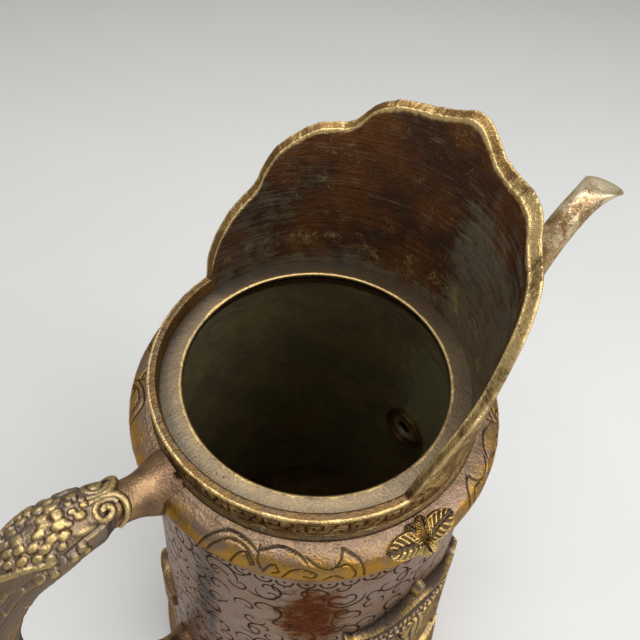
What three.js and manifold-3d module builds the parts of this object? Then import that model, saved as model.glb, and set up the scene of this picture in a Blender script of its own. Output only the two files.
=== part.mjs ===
// Brass ewer: a tapered body with a bulging shoulder, an upright neck that rises into a tall lobed
// crest, a curved spout in front of the crest and a beast-headed handle behind it.
// Millimetres, +Z up. The origin is the middle of the base's underside; the spout points along +X.

import * as THREE from "three";
import { mergeVertices } from "three/addons/utils/BufferGeometryUtils.js";
import Module from "manifold-3d";

const wasm = await Module();
wasm.setup();

// Fits
const GAP = 0.3; // solder gap between pieces that seat on each other
const ROUND_STEPS = 64; // flats round a full turn

// Body
const SEAT_HEIGHT = 240; // base underside to the top of the seat plate
const BODY_WALL = 2.4;
const BODY_TAPER = 0.11; // radius gained for each millimetre of drop
const BASE_THICKNESS = 2.5;

// Neck, lip and crest, cast as one collar
const COLLAR_RADIUS = 55.3; // outside of the fret band and the lip
const COLLAR_WALL = 3;
const COLLAR_FOOT = 0.9; // how far the collar's foot stands out
const LIP_RISE = 5.7; // lip above the seat plate
const NECK_DROP = 6; // shoulder's top below the seat plate
const CREST_RISE = 75.4; // crest's point above the seat plate
const CREST_CHAMFER = 2.5; // how far the crest's edge falls towards the inside
const CREST_BORDER = 0.4; // how far the crest's border stands out from its back
const CREST_BORDER_WIDTH = 4.5;

// Seat plate
const MOUTH_RADIUS = 45;
const PLATE_THICKNESS = 2.5;
const LEDGE_WIDTH = 2.6; // what the plate rests on inside the collar

// Shoulder ring
const BODY_STEP = 2.4; // body's top edge outside the collar
const SHOULDER_BULGE = 6.6; // ring outside the body's top edge
const SHOULDER_HEIGHT = 19;
const SHOULDER_FLANGE = 3.7;
const FLANGE_WIDTH = 5.5;

// Foot ring
const FOOT_HEIGHT = 14;
const FOOT_BULGE = 4.2;

// Spout
const PORT_DROP = 107; // port's middle below the seat plate
const SPOUT_REACH = 109.8; // lip's middle outside the body's top edge
const SPOUT_TIP_RISE = 5; // lip's middle above the seat plate
const SPOUT_ROOT_RADIUS = 12;
const SPOUT_NECK_RADIUS = 6.7;
const SPOUT_WALL = 1.6;
const SPOUT_LIP_LENGTH = 10.9; // half the slanted lip, along the spout
const SPOUT_LIP_WIDTH = 9; // half the slanted lip, across the spout
const SOCKET_RADIUS = 17;
const SOCKET_LENGTH = 24;
const BEAD_THICKNESS = 3.4;

// Handle
const HANDLE_TOP_DROP = 13; // upper root below the seat plate
const HANDLE_ARCH_DROP = 3.5; // top of the arch below the seat plate
const HANDLE_ARCH_OUT = 24.7; // top of the arch outside the shoulder ring
const HANDLE_REACH = 62.2; // outermost run outside the shoulder ring
const HANDLE_REACH_DROP = 72;
const HANDLE_LOW_DROP = 178; // lower root below the seat plate
const BRACKET_RADIUS = 6.3;
const BRACKET_FLARE = 11;
const HEAD_START = 13; // head's mouth outside the shoulder ring
const HEAD_END = 43;
const HEAD_RADIUS = 10.4;
const MUZZLE_RADIUS = 7.9;
const GRIP_WIDTH = 9.2; // half the grip across, behind the head
const GRIP_DEPTH = 8.6; // half the grip in depth, behind the head
const GRIP_LOW_RADIUS = 6.4;
const GRIP_END_DROP = HANDLE_LOW_DROP - 10;

// Ornaments
const SPRAY_TURN = 98; // leaf sprays either side of the spout, in degrees
const LEAF_LENGTH = 11.5;
const LEAF_WIDTH = 7.4;
const LEAF_THICKNESS = 2;
const PANEL_TURN = 90; // middle of the side panels from the spout, in degrees
const ROOF_RIDGE_DROP = 69; // ridge below the seat plate
const ROOF_EAVE_DROP = 90;
const ROOF_HALF_TURN = 27;
const ROOF_THICKNESS = 4;
const ROOF_SAG = 12; // how far the ridge line falls towards the eaves
const EAVE_LIFT = 5;
const FINIAL_RISE = 7;
const HALL_FOOT_DROP = 168;
const HALL_HALF_TURN = 20;
const POST_THICKNESS = 2.6;
const TERRACE_HEIGHT = 9;
const LANTERN_DROP = ROOF_EAVE_DROP + 15;
const LANTERN_HALF = 11; // half the lantern's height
const CLOUD_TURN = 161; // cloud scrolls low beside the handle, in degrees from the spout
const CLOUD_HALF_TURN = 9.5;
const CLOUD_DROP = 150;
const CLOUD_HEIGHT = 36;
const CLOUD_THICKNESS = 3.8;

// Sizes that follow
const BODY_TOP = SEAT_HEIGHT - NECK_DROP - SHOULDER_FLANGE - GAP;
const BODY_TOP_RADIUS = COLLAR_RADIUS + BODY_STEP;
const SHOULDER_RADIUS = BODY_TOP_RADIUS + SHOULDER_BULGE;
const SHOULDER_TOP = SEAT_HEIGHT - NECK_DROP;
const SHOULDER_FOOT = SHOULDER_TOP - SHOULDER_HEIGHT;
const bodyRadius = (z) => BODY_TOP_RADIUS + BODY_TAPER * (BODY_TOP - z);
const boreRadius = (z) => bodyRadius(z) - BODY_WALL;

// Solids

function welded(geometry) {
  const bare = geometry.clone();
  bare.deleteAttribute("normal");
  bare.deleteAttribute("uv");
  const merged = mergeVertices(bare, 1e-4);
  const index = merged.index.array;
  const kept = [];
  for (let i = 0; i < index.length; i += 3) {
    const corners = [index[i], index[i + 1], index[i + 2]];
    if (new Set(corners).size === 3) kept.push(...corners);
  }
  merged.setIndex(kept);
  return merged;
}

function solidOf(geometry) {
  const closed = welded(geometry);
  const mesh = new wasm.Mesh({
    numProp: 3,
    vertProperties: closed.attributes.position.array,
    triVerts: Uint32Array.from(closed.index.array),
  });
  return new wasm.Manifold(mesh);
}

function geometryOf(solid) {
  const mesh = solid.getMesh();
  const geometry = new THREE.BufferGeometry();
  geometry.setAttribute("position", new THREE.BufferAttribute(mesh.vertProperties, 3));
  geometry.setIndex(new THREE.BufferAttribute(mesh.triVerts, 1));
  geometry.computeVertexNormals();
  return geometry;
}

// A profile of [radius, height] pairs, upwards on the outside, turned about +Z
function turned(profile) {
  const points = profile.map(([radius, height]) => new THREE.Vector2(radius, height));
  const onAxis = points[0].x === 0;
  if (!onAxis) points.push(points[0].clone());
  return new THREE.LatheGeometry(points, ROUND_STEPS).rotateX(Math.PI / 2);
}

function signedVolume(positions, faces) {
  const corner = (i) => new THREE.Vector3().fromArray(positions, 3 * i);
  let sum = 0;
  for (let i = 0; i < faces.length; i += 3) {
    const across = corner(faces[i + 1]).cross(corner(faces[i + 2]));
    sum += corner(faces[i]).dot(across) / 6;
  }
  return sum;
}

// One closed skin over rings of points: capped at both ends, or joined end to end
function skin(rings, joined = false) {
  const sides = rings[0].length;
  const points = rings.flat();
  const faces = [];
  const spans = joined ? rings.length : rings.length - 1;
  for (let i = 0; i < spans; i++) {
    const here = i * sides;
    const next = ((i + 1) % rings.length) * sides;
    for (let j = 0; j < sides; j++) {
      const k = (j + 1) % sides;
      faces.push(here + j, here + k, next + k);
      faces.push(here + j, next + k, next + j);
    }
  }
  if (!joined) {
    for (const end of [0, rings.length - 1]) {
      const middle = new THREE.Vector3();
      for (const p of rings[end]) middle.addScaledVector(p, 1 / sides);
      points.push(middle);
      for (let j = 0; j < sides; j++) {
        const here = end * sides + j;
        const next = end * sides + ((j + 1) % sides);
        const hub = points.length - 1;
        faces.push(...(end === 0 ? [next, here, hub] : [here, next, hub]));
      }
    }
  }
  const positions = points.flatMap((p) => p.toArray());
  if (signedVolume(positions, faces) < 0) faces.reverse();
  const geometry = new THREE.BufferGeometry();
  geometry.setAttribute("position", new THREE.Float32BufferAttribute(positions, 3));
  geometry.setIndex(faces);
  return geometry;
}

// An oval in a plane across the symmetry plane: half is its half length along `lean`
function oval(middle, lean, half, halfWidth, sides) {
  const ring = [];
  for (let i = 0; i < sides; i++) {
    const turn = (2 * Math.PI * i) / sides;
    const p = middle.clone().addScaledVector(lean, half * Math.cos(turn));
    p.y += halfWidth * Math.sin(turn);
    ring.push(p);
  }
  return ring;
}

// Square across a path that runs in the symmetry plane
function leanAt(path, t) {
  const along = path.getTangentAt(t);
  return new THREE.Vector3(-along.z, 0, along.x);
}

const onPlane = (x, z) => new THREE.Vector3(x, 0, z);
const { lerp, degToRad, smoothstep } = THREE.MathUtils;

// Body and base

function bodyEnvelope(allowance) {
  const profile = [
    [0, -GAP],
    [bodyRadius(0) + allowance, -GAP],
    [bodyRadius(BODY_TOP) + allowance, BODY_TOP],
    [0, BODY_TOP],
  ];
  return solidOf(turned(profile));
}

function bodyWall() {
  const profile = [
    [boreRadius(0), 0],
    [bodyRadius(0), 0],
    [bodyRadius(BODY_TOP), BODY_TOP],
    [boreRadius(BODY_TOP), BODY_TOP],
  ];
  return geometryOf(solidOf(turned(profile)).subtract(spoutEnvelope()));
}

function basePlate() {
  const radius = boreRadius(BASE_THICKNESS) - GAP;
  const profile = [
    [0, 0],
    [radius, 0],
    [radius, BASE_THICKNESS],
    [0, BASE_THICKNESS],
  ];
  return welded(turned(profile));
}

function footRing() {
  const radius = bodyRadius(0);
  const roll = new THREE.SplineCurve([
    new THREE.Vector2(radius + 0.64 * FOOT_BULGE, 0),
    new THREE.Vector2(radius + FOOT_BULGE, 0.28 * FOOT_HEIGHT),
    new THREE.Vector2(radius + 0.62 * FOOT_BULGE, 0.72 * FOOT_HEIGHT),
    new THREE.Vector2(bodyRadius(FOOT_HEIGHT) + 0.29 * FOOT_BULGE, FOOT_HEIGHT),
  ]);
  const profile = [
    [bodyRadius(0) + GAP, 0],
    ...roll.getPoints(5).map((p) => [p.x, p.y]),
    [bodyRadius(FOOT_HEIGHT) + GAP, FOOT_HEIGHT],
  ];
  return turned(profile);
}

// Shoulder ring

// The roll's outside, from its lower edge up to the groove under the neck
function shoulderRoll(allowance) {
  const lower = bodyRadius(SHOULDER_FOOT) + 1.6;
  const upper = COLLAR_RADIUS + COLLAR_FOOT + 1.4;
  const roll = new THREE.SplineCurve([
    new THREE.Vector2(lower, SHOULDER_FOOT),
    new THREE.Vector2(SHOULDER_RADIUS - 1.1, SHOULDER_FOOT + 0.37 * SHOULDER_HEIGHT),
    new THREE.Vector2(SHOULDER_RADIUS, SHOULDER_FOOT + 0.64 * SHOULDER_HEIGHT),
    new THREE.Vector2(SHOULDER_RADIUS - 1.9, SHOULDER_FOOT + 0.9 * SHOULDER_HEIGHT),
    new THREE.Vector2(upper, SHOULDER_TOP),
  ]);
  const points = [];
  for (let i = 0; i <= 9; i++) {
    const along = roll.getTangent(i / 9);
    const p = roll.getPoint(i / 9);
    points.push([p.x + along.y * allowance, p.y - along.x * allowance]);
  }
  return points;
}

function shoulderRing() {
  const profile = [
    [bodyRadius(SHOULDER_FOOT) + GAP, SHOULDER_FOOT],
    ...shoulderRoll(0),
    [COLLAR_RADIUS - FLANGE_WIDTH, SHOULDER_TOP],
    [COLLAR_RADIUS - FLANGE_WIDTH, SHOULDER_TOP - SHOULDER_FLANGE],
    [bodyRadius(BODY_TOP) + GAP, SHOULDER_TOP - SHOULDER_FLANGE],
  ];
  return turned(profile);
}

// The space that the shoulder and the collar's foot take up, right through to the axis
function shoulderEnvelope(allowance) {
  const roll = shoulderRoll(allowance);
  const foot = COLLAR_RADIUS + COLLAR_FOOT + allowance;
  const profile = [
    [0, roll[0][1]],
    ...roll,
    [foot, roll[roll.length - 1][1]],
    [foot, SEAT_HEIGHT + LIP_RISE],
    [0, SEAT_HEIGHT + LIP_RISE],
  ];
  return solidOf(turned(profile));
}

// Collar: fret band, lip and crest

// The crest's outline on one side: degrees from the spout and height above the seat plate,
// from its foot on the lip over two lobes to the shoulder of the point
const CREST_LOBES = [
  [
    [100.6, LIP_RISE],
    [98.4, 0.186],
    [94.2, 0.285],
    [88.2, 0.379],
    [83.1, 0.434],
    [76.4, 0.508],
  ],
  [
    [76.4, 0.508],
    [73.3, 0.584],
    [68.9, 0.663],
    [64.7, 0.703],
    [60.6, 0.737],
    [56, 0.767],
    [50, 0.784],
    [44.7, 0.793],
  ],
  [
    [44.7, 0.793],
    [41, 0.814],
    [37, 0.859],
    [33.5, 0.893],
    [27, 0.914],
    [20, 0.92],
    [14, 0.931],
    [10, 0.946],
    [6, 0.971],
    [0, 1],
  ],
];

function crestOutline() {
  const side = [];
  for (const lobe of CREST_LOBES) {
    const knots = lobe.map(([turn, rise], i) => {
      const onLip = i === 0 && rise === LIP_RISE;
      return new THREE.Vector2(turn, onLip ? rise : rise * CREST_RISE);
    });
    const points = new THREE.SplineCurve(knots).getPoints(2 * (knots.length - 1));
    side.push(...points.slice(side.length ? 1 : 0));
  }
  return side;
}

// Turns round the collar with the height of its edge there
function collarStations() {
  const side = crestOutline();
  const plain = [];
  const foot = side[0].x;
  const steps = 28;
  for (let i = 1; i < steps; i++) {
    plain.push([lerp(foot, 360 - foot, i / steps), LIP_RISE]);
  }
  const left = side.slice(0, -1).map((p) => [-p.x, p.y]);
  const right = side.map((p) => [p.x, p.y]).reverse();
  return [...left, ...right, ...plain];
}

function crestCollar() {
  const outer = COLLAR_RADIUS;
  const inner = COLLAR_RADIUS - COLLAR_WALL;
  const ledge = inner - LEDGE_WIDTH;
  const rings = collarStations().map(([turn, rise]) => {
    const grown = smoothstep(rise - LIP_RISE, 0, 8);
    const proud = CREST_BORDER * grown;
    const ground = rise - lerp(1.6, CREST_BORDER_WIDTH + 0.8, grown);
    const low = rise - CREST_CHAMFER * grown; // the edge's inner side
    const profile = [
      [outer + COLLAR_FOOT, GAP - NECK_DROP],
      [outer + COLLAR_FOOT, GAP - NECK_DROP + 1],
      [outer, GAP - NECK_DROP + 2],
      [outer, ground],
      [outer + proud, ground + 0.8],
      [outer + proud, rise - 0.8],
      [outer + proud - 0.8, rise],
      [inner + 0.7, low],
      [inner, low - 0.7],
      [inner, -PLATE_THICKNESS - GAP],
      [ledge, -PLATE_THICKNESS - GAP],
      [ledge, GAP - NECK_DROP],
    ];
    const angle = degToRad(turn);
    return profile.map(
      ([r, z]) => new THREE.Vector3(r * Math.cos(angle), r * Math.sin(angle), SEAT_HEIGHT + z),
    );
  });
  return skin(rings, true);
}

function seatPlate() {
  const radius = COLLAR_RADIUS - COLLAR_WALL - GAP;
  const profile = [
    [MOUTH_RADIUS + 0.5, SEAT_HEIGHT - PLATE_THICKNESS],
    [radius, SEAT_HEIGHT - PLATE_THICKNESS],
    [radius, SEAT_HEIGHT],
    [MOUTH_RADIUS + 0.5, SEAT_HEIGHT],
    [MOUTH_RADIUS, SEAT_HEIGHT - 0.5],
    [MOUTH_RADIUS, SEAT_HEIGHT - PLATE_THICKNESS + 0.5],
  ];
  return turned(profile);
}

// Spout

const SPOUT_SIDES = 16;
const SPOUT_START = boreRadius(SEAT_HEIGHT - PORT_DROP) - 4;
const SPOUT_LIFT = SPOUT_TIP_RISE - 4.5; // end of the round tube above the seat plate
const SPOUT_END = onPlane(BODY_TOP_RADIUS + SPOUT_REACH - 17.5, SEAT_HEIGHT + SPOUT_LIFT);

// Out square from the body, steeply up, then over towards the lip
const spoutPath = (() => {
  const start = onPlane(SPOUT_START, SEAT_HEIGHT - PORT_DROP);
  const bend = SPOUT_END.clone().add(onPlane(-22, -27.5));
  const path = new THREE.CurvePath();
  path.add(
    new THREE.CubicBezierCurve3(
      start,
      start.clone().add(onPlane(38, 0)),
      bend.clone().add(onPlane(-16, -33)),
      bend,
    ),
  );
  path.add(
    new THREE.CubicBezierCurve3(
      bend,
      bend.clone().add(onPlane(4, 8.5)),
      SPOUT_END.clone().add(onPlane(-10.3, -7)),
      SPOUT_END,
    ),
  );
  return path;
})();

function spoutRadius(t) {
  const slim = smoothstep(t, 0.1, 0.95);
  return lerp(SPOUT_ROOT_RADIUS, SPOUT_NECK_RADIUS, slim);
}

function spoutRings(allowance, first = 0, last = 1, steps = 15) {
  const rings = [];
  for (let i = 0; i <= steps; i++) {
    const t = lerp(first, last, i / steps);
    const radius = spoutRadius(t) + allowance;
    rings.push(oval(spoutPath.getPointAt(t), leanAt(spoutPath, t), radius, radius, SPOUT_SIDES));
  }
  return rings;
}

// The flare: its upper and its lower edge each run on from the tube and end on the slanted lip
function spoutFlare(allowance, steps = 5) {
  const radius = SPOUT_NECK_RADIUS + allowance;
  const lean = leanAt(spoutPath, 1);
  const along = spoutPath.getTangentAt(1);
  const slant = onPlane(Math.cos(degToRad(18)), -Math.sin(degToRad(18)));
  const lip = onPlane(BODY_TOP_RADIUS + SPOUT_REACH, SEAT_HEIGHT + SPOUT_TIP_RISE);
  const half = SPOUT_LIP_LENGTH + allowance;
  const upper = SPOUT_END.clone().addScaledVector(lean, radius);
  const lower = SPOUT_END.clone().addScaledVector(lean, -radius);
  const upperEdge = new THREE.QuadraticBezierCurve3(
    upper,
    upper.clone().addScaledVector(along, 6),
    lip.clone().addScaledVector(slant, -half),
  );
  const lowerEdge = new THREE.QuadraticBezierCurve3(
    lower,
    lower.clone().addScaledVector(along, 11),
    lip.clone().addScaledVector(slant, half),
  );
  const rings = [];
  for (let i = 1; i <= steps; i++) {
    const t = i / steps;
    const a = upperEdge.getPoint(t);
    const b = lowerEdge.getPoint(t);
    const across = a.clone().sub(b);
    const width = lerp(radius, SPOUT_LIP_WIDTH + allowance, t * t);
    const middle = a.clone().add(b).multiplyScalar(0.5);
    rings.push(oval(middle, across.clone().normalize(), across.length() / 2, width, SPOUT_SIDES));
  }
  return rings;
}

// The tube's outside with its fit, for what it passes through
function spoutEnvelope() {
  return solidOf(skin(spoutRings(GAP, 0, 0.5)));
}

function moved(ring, offset) {
  return ring.map((p) => p.clone().add(offset));
}

function spoutTube() {
  const outside = solidOf(skin([...spoutRings(0), ...spoutFlare(0)]));
  const bore = [...spoutRings(-SPOUT_WALL), ...spoutFlare(-SPOUT_WALL)];
  bore.unshift(moved(bore[0], onPlane(-1, 0)));
  bore.push(moved(bore[bore.length - 1], onPlane(0.3, 1)));
  return geometryOf(outside.subtract(solidOf(skin(bore))));
}

function spoutRoot() {
  const length = spoutPath.getLength();
  const first = 4 / length;
  const last = (4 + BODY_WALL + SOCKET_LENGTH) / length;
  const rings = [];
  const steps = 7;
  for (let i = 0; i <= steps; i++) {
    const t = lerp(first, last, i / steps);
    const flare = (1 - i / steps) ** 2;
    const radius = lerp(spoutRadius(t) + GAP + 1.8, SOCKET_RADIUS, flare);
    rings.push(oval(spoutPath.getPointAt(t), leanAt(spoutPath, t), radius, radius, SPOUT_SIDES));
  }
  const socket = solidOf(skin(rings)).subtract(bodyEnvelope(GAP)).subtract(spoutEnvelope());
  return geometryOf(socket);
}

// A bead of solder lying on the inside of the wall, round the tube
function portBead() {
  const height = SEAT_HEIGHT - PORT_DROP;
  const radius = SPOUT_ROOT_RADIUS + GAP + BEAD_THICKNESS / 2;
  const ring = new THREE.TorusGeometry(radius, BEAD_THICKNESS / 2, 8, 28);
  ring.rotateY(Math.PI / 2);
  ring.translate(boreRadius(height) - GAP - 1.2, 0, height);
  const inside = [
    [0, 0],
    [boreRadius(0) - GAP, 0],
    [boreRadius(BODY_TOP) - GAP, BODY_TOP],
    [0, BODY_TOP],
  ];
  const kept = solidOf(ring).intersect(solidOf(turned(inside)));
  return geometryOf(kept.subtract(spoutEnvelope()));
}

// Handle

const HANDLE_SIDES = 20;
const handlePath = (() => {
  const below = (drop) => SEAT_HEIGHT - drop;
  const root = onPlane(-(SHOULDER_RADIUS - 7), below(HANDLE_TOP_DROP));
  const arch = onPlane(-(SHOULDER_RADIUS + HANDLE_ARCH_OUT), below(HANDLE_ARCH_DROP));
  const out = onPlane(-(SHOULDER_RADIUS + HANDLE_REACH), below(HANDLE_REACH_DROP));
  const low = onPlane(-boreRadius(below(HANDLE_LOW_DROP)), below(HANDLE_LOW_DROP));
  const path = new THREE.CurvePath();
  path.add(
    new THREE.CubicBezierCurve3(
      root,
      root.clone().add(onPlane(-10, 3)),
      arch.clone().add(onPlane(10, 0)),
      arch,
    ),
  );
  path.add(
    new THREE.CubicBezierCurve3(
      arch,
      arch.clone().add(onPlane(-22, 0)),
      out.clone().add(onPlane(0, 38)),
      out,
    ),
  );
  path.add(
    new THREE.CubicBezierCurve3(
      out,
      out.clone().add(onPlane(0, -45)),
      low.clone().add(onPlane(-24, 8)),
      low,
    ),
  );
  return path;
})();

// How far along the handle a point test first holds, as a share of its length
function handleShare(test) {
  const steps = 2000;
  for (let i = 0; i <= steps; i++) {
    if (test(handlePath.getPointAt(i / steps))) return i / steps;
  }
  return 1;
}

const HANDLE_LENGTH = handlePath.getLength();
const MOUTH_SHARE = handleShare((p) => p.x < -(SHOULDER_RADIUS + HEAD_START));
const NAPE_SHARE = handleShare((p) => p.x < -(SHOULDER_RADIUS + HEAD_END));
const TAIL_SHARE = handleShare((p) => p.z < SEAT_HEIGHT - GRIP_END_DROP);

function handleRun(first, last, steps, sizeAt) {
  const rings = [];
  for (let i = 0; i <= steps; i++) {
    const t = lerp(first, last, i / steps);
    const [depth, width] = sizeAt(i / steps);
    rings.push(oval(handlePath.getPointAt(t), leanAt(handlePath, t), depth, width, HANDLE_SIDES));
  }
  return skin(rings);
}

function bracketTop() {
  const end = MOUTH_SHARE - GAP / HANDLE_LENGTH;
  const stub = handleRun(0, end, 10, (s) => {
    const flare = (1 - smoothstep(s, 0, 0.75)) ** 1.5;
    const radius = BRACKET_RADIUS + (BRACKET_FLARE - BRACKET_RADIUS) * flare;
    return [radius, radius];
  });
  return geometryOf(solidOf(stub).subtract(shoulderEnvelope(GAP)));
}

function bracketLow() {
  const start = TAIL_SHARE + GAP / HANDLE_LENGTH;
  const stub = handleRun(start, 1, 8, (s) => {
    const radius = GRIP_LOW_RADIUS + (BRACKET_FLARE - GRIP_LOW_RADIUS) * s ** 2;
    return [radius, radius];
  });
  return geometryOf(solidOf(stub).subtract(bodyEnvelope(GAP)));
}

function beastHead() {
  const end = NAPE_SHARE - GAP / HANDLE_LENGTH;
  return handleRun(MOUTH_SHARE, end, 14, (s) => {
    const dome = Math.sin(Math.PI * Math.min(1, 0.12 + 0.72 * s));
    const radius = lerp(MUZZLE_RADIUS, HEAD_RADIUS, dome ** 1.5);
    return [radius, radius];
  });
}

function handleGrip() {
  return handleRun(NAPE_SHARE, TAIL_SHARE, 20, (s) => [
    lerp(GRIP_DEPTH, GRIP_LOW_RADIUS, smoothstep(s, 0, 0.8)),
    lerp(GRIP_WIDTH, GRIP_LOW_RADIUS, smoothstep(s, 0, 0.8)),
  ]);
}

// Ornaments

// A leaf outline with a point at each end, its base at the origin, growing along +X
function leafShape(length, width) {
  const shape = new THREE.Shape();
  shape.moveTo(0, 0);
  shape.bezierCurveTo(0.1 * length, 0.66 * width, 0.72 * length, 0.68 * width, length, 0);
  shape.bezierCurveTo(0.72 * length, -0.68 * width, 0.1 * length, -0.66 * width, 0, 0);
  return shape;
}

function leafPrism(share, turn, x, y) {
  const flat = new THREE.ExtrudeGeometry(leafShape(share * LEAF_LENGTH, Math.sqrt(share) * LEAF_WIDTH), {
    depth: 20,
    bevelEnabled: false,
    curveSegments: 7,
  });
  flat.rotateZ(degToRad(turn));
  flat.translate(x, y, -10);
  return solidOf(flat);
}

// Leaves and buds cut from a shell that lies on the shoulder ring's upper slope
function leafSpray() {
  const prisms = leafPrism(1, 172, -0.8, 0)
    .add(leafPrism(1, 12, 0.4, 0.4))
    .add(leafPrism(0.9, -72, -0.6, -0.4))
    .add(leafPrism(0.55, 118, -0.6, 0.2))
    .add(leafPrism(0.55, 80, 0.4, 0.2));
  const placed = prisms
    .rotate([36, 0, 0])
    .translate([0, 2.4 - SHOULDER_RADIUS, SHOULDER_TOP - 2.6])
    .rotate([0, 0, 90 - SPRAY_TURN]);
  const shell = shoulderEnvelope(GAP + LEAF_THICKNESS).subtract(shoulderEnvelope(GAP));
  return placed.intersect(shell).subtract(bodyEnvelope(GAP));
}

const SINK = 1.5; // how far a relief is drawn into the body before the body's space is cut away

// A raised piece on the body: stations of [turn, lower drop, upper drop, thickness]
function raised(stations) {
  const rings = stations.map(([turn, lowDrop, highDrop, thickness]) => {
    const angle = degToRad(turn);
    const low = SEAT_HEIGHT - lowDrop;
    const high = SEAT_HEIGHT - highDrop;
    const at = (radius, z) => onPlane(radius, z).applyAxisAngle(new THREE.Vector3(0, 0, 1), angle);
    const edge = Math.min(0.8, thickness / 3);
    return [
      at(bodyRadius(low) - SINK, low),
      at(bodyRadius(low) + GAP + thickness - edge, low),
      at(bodyRadius(low) + GAP + thickness, low + edge),
      at(bodyRadius(high) + GAP + thickness, high - edge),
      at(bodyRadius(high) + GAP + thickness - edge, high),
      at(bodyRadius(high) - SINK, high),
    ];
  });
  return solidOf(skin(rings));
}

// Stations across a raised piece: sizeAt gives the drops and the thickness at s from -1 to 1
function across(middleTurn, halfTurn, steps, sizeAt) {
  const stations = [];
  for (let i = 0; i <= steps; i++) {
    const s = (2 * i) / steps - 1;
    stations.push([middleTurn + s * halfTurn, ...sizeAt(s)]);
  }
  return stations;
}

// Pavilion under a curved roof: eaves that turn up, a finial, posts, a terrace and a lantern
function roofRelief() {
  const middle = -PANEL_TURN;
  const roof = across(middle, ROOF_HALF_TURN, 16, (s) => {
    const out = Math.abs(s);
    const sag = ROOF_SAG * (smoothstep(out, 0, 0.85) - 0.25 * smoothstep(out, 0.85, 1));
    const lift = EAVE_LIFT * out ** 4;
    const thickness = ROOF_THICKNESS - 1.6 * out ** 2;
    return [ROOF_EAVE_DROP + 2 - lift, ROOF_RIDGE_DROP + sag, thickness];
  });
  const finial = across(middle, 2.6, 4, (s) => [
    ROOF_RIDGE_DROP + 2,
    ROOF_RIDGE_DROP - FINIAL_RISE * Math.sqrt(1 - 0.9 * s * s),
    POST_THICKNESS,
  ]);
  const terrace = across(middle, HALL_HALF_TURN + 3, 10, () => [
    HALL_FOOT_DROP,
    HALL_FOOT_DROP - TERRACE_HEIGHT,
    ROOF_THICKNESS - 0.8,
  ]);
  const post = (turn) =>
    across(middle + turn, 1.8, 2, () => [HALL_FOOT_DROP - 4, ROOF_EAVE_DROP - 3, POST_THICKNESS]);
  const lantern = across(middle, 6, 8, (s) => {
    const tall = LANTERN_HALF * Math.sqrt(1 - 0.8 * s * s);
    return [LANTERN_DROP + tall, LANTERN_DROP - tall, POST_THICKNESS + 1.2];
  });
  const back = across(middle, HALL_HALF_TURN + 0.7, 8, () => [
    HALL_FOOT_DROP - 5,
    ROOF_EAVE_DROP - 5,
    1,
  ]);
  return raised(roof)
    .add(raised(finial))
    .add(raised(terrace))
    .add(raised(post(-HALL_HALF_TURN)))
    .add(raised(post(HALL_HALF_TURN)))
    .add(raised(lantern))
    .add(raised(back))
    .subtract(bodyEnvelope(GAP));
}

function cloudRelief() {
  const stations = across(-CLOUD_TURN, CLOUD_HALF_TURN, 10, (s) => {
    const tall = (CLOUD_HEIGHT / 2) * Math.sqrt(1 - 0.8 * s * s);
    const thickness = CLOUD_THICKNESS * Math.sqrt(1 - 0.75 * s * s);
    return [CLOUD_DROP + tall, CLOUD_DROP - tall, thickness];
  });
  return raised(stations).subtract(bodyEnvelope(GAP));
}

// Assembly

function mesh(name, geometry, color, roughness) {
  const material = new THREE.MeshStandardMaterial({ color, roughness, metalness: 0.85 });
  const piece = new THREE.Mesh(geometry, material);
  piece.name = name;
  return piece;
}

const BROWN = 0x6a5548;
const DARK = 0x4a3a28;
const WORN = 0xa07a3c;
const GREY = 0x7c7264;

const ewer = new THREE.Group();

// An ornament on the near side and its mirror image on the far side
function addPair(name, solid, color, roughness) {
  ewer.add(mesh(`${name}_near`, geometryOf(solid), color, roughness));
  ewer.add(mesh(`${name}_far`, geometryOf(solid.mirror([0, 1, 0])), color, roughness));
}

ewer.add(mesh("body_wall", bodyWall(), BROWN, 0.45));
ewer.add(mesh("base_plate", basePlate(), DARK, 0.6));
ewer.add(mesh("foot_ring", footRing(), WORN, 0.4));
ewer.add(mesh("shoulder_ring", shoulderRing(), WORN, 0.38));
ewer.add(mesh("crest_collar", crestCollar(), DARK, 0.5));
ewer.add(mesh("seat_plate", seatPlate(), GREY, 0.55));
ewer.add(mesh("spout_tube", spoutTube(), WORN, 0.35));
ewer.add(mesh("spout_root", spoutRoot(), BROWN, 0.45));
ewer.add(mesh("port_bead", portBead(), GREY, 0.4));
ewer.add(mesh("handle_bracket_top", bracketTop(), BROWN, 0.38));
ewer.add(mesh("beast_head", beastHead(), WORN, 0.4));
ewer.add(mesh("handle_grip", handleGrip(), BROWN, 0.42));
ewer.add(mesh("handle_bracket_low", bracketLow(), BROWN, 0.4));
addPair("leaf_spray", leafSpray(), WORN, 0.35);
addPair("roof_relief", roofRelief(), WORN, 0.4);
addPair("cloud_relief", cloudRelief(), BROWN, 0.4);

export default ewer;
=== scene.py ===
# %% [markdown]
# # Brass ewer
# This lesson dresses a tapered brass ewer that was measured and packed beforehand. The packed
# model fixes every size. Here each casting gets its rounded edges, its chasing and its old
# patina, and the scene gets a camera, a pale floor and soft studio light.

# %% Load the measured model
import bpy
import bmesh
from bisect import bisect_right
from math import atan2, cos, degrees, hypot, pi, radians, sin, sqrt
from mathutils import Matrix, Vector, noise
from mathutils.geometry import interpolate_bezier
from types import SimpleNamespace


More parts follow.
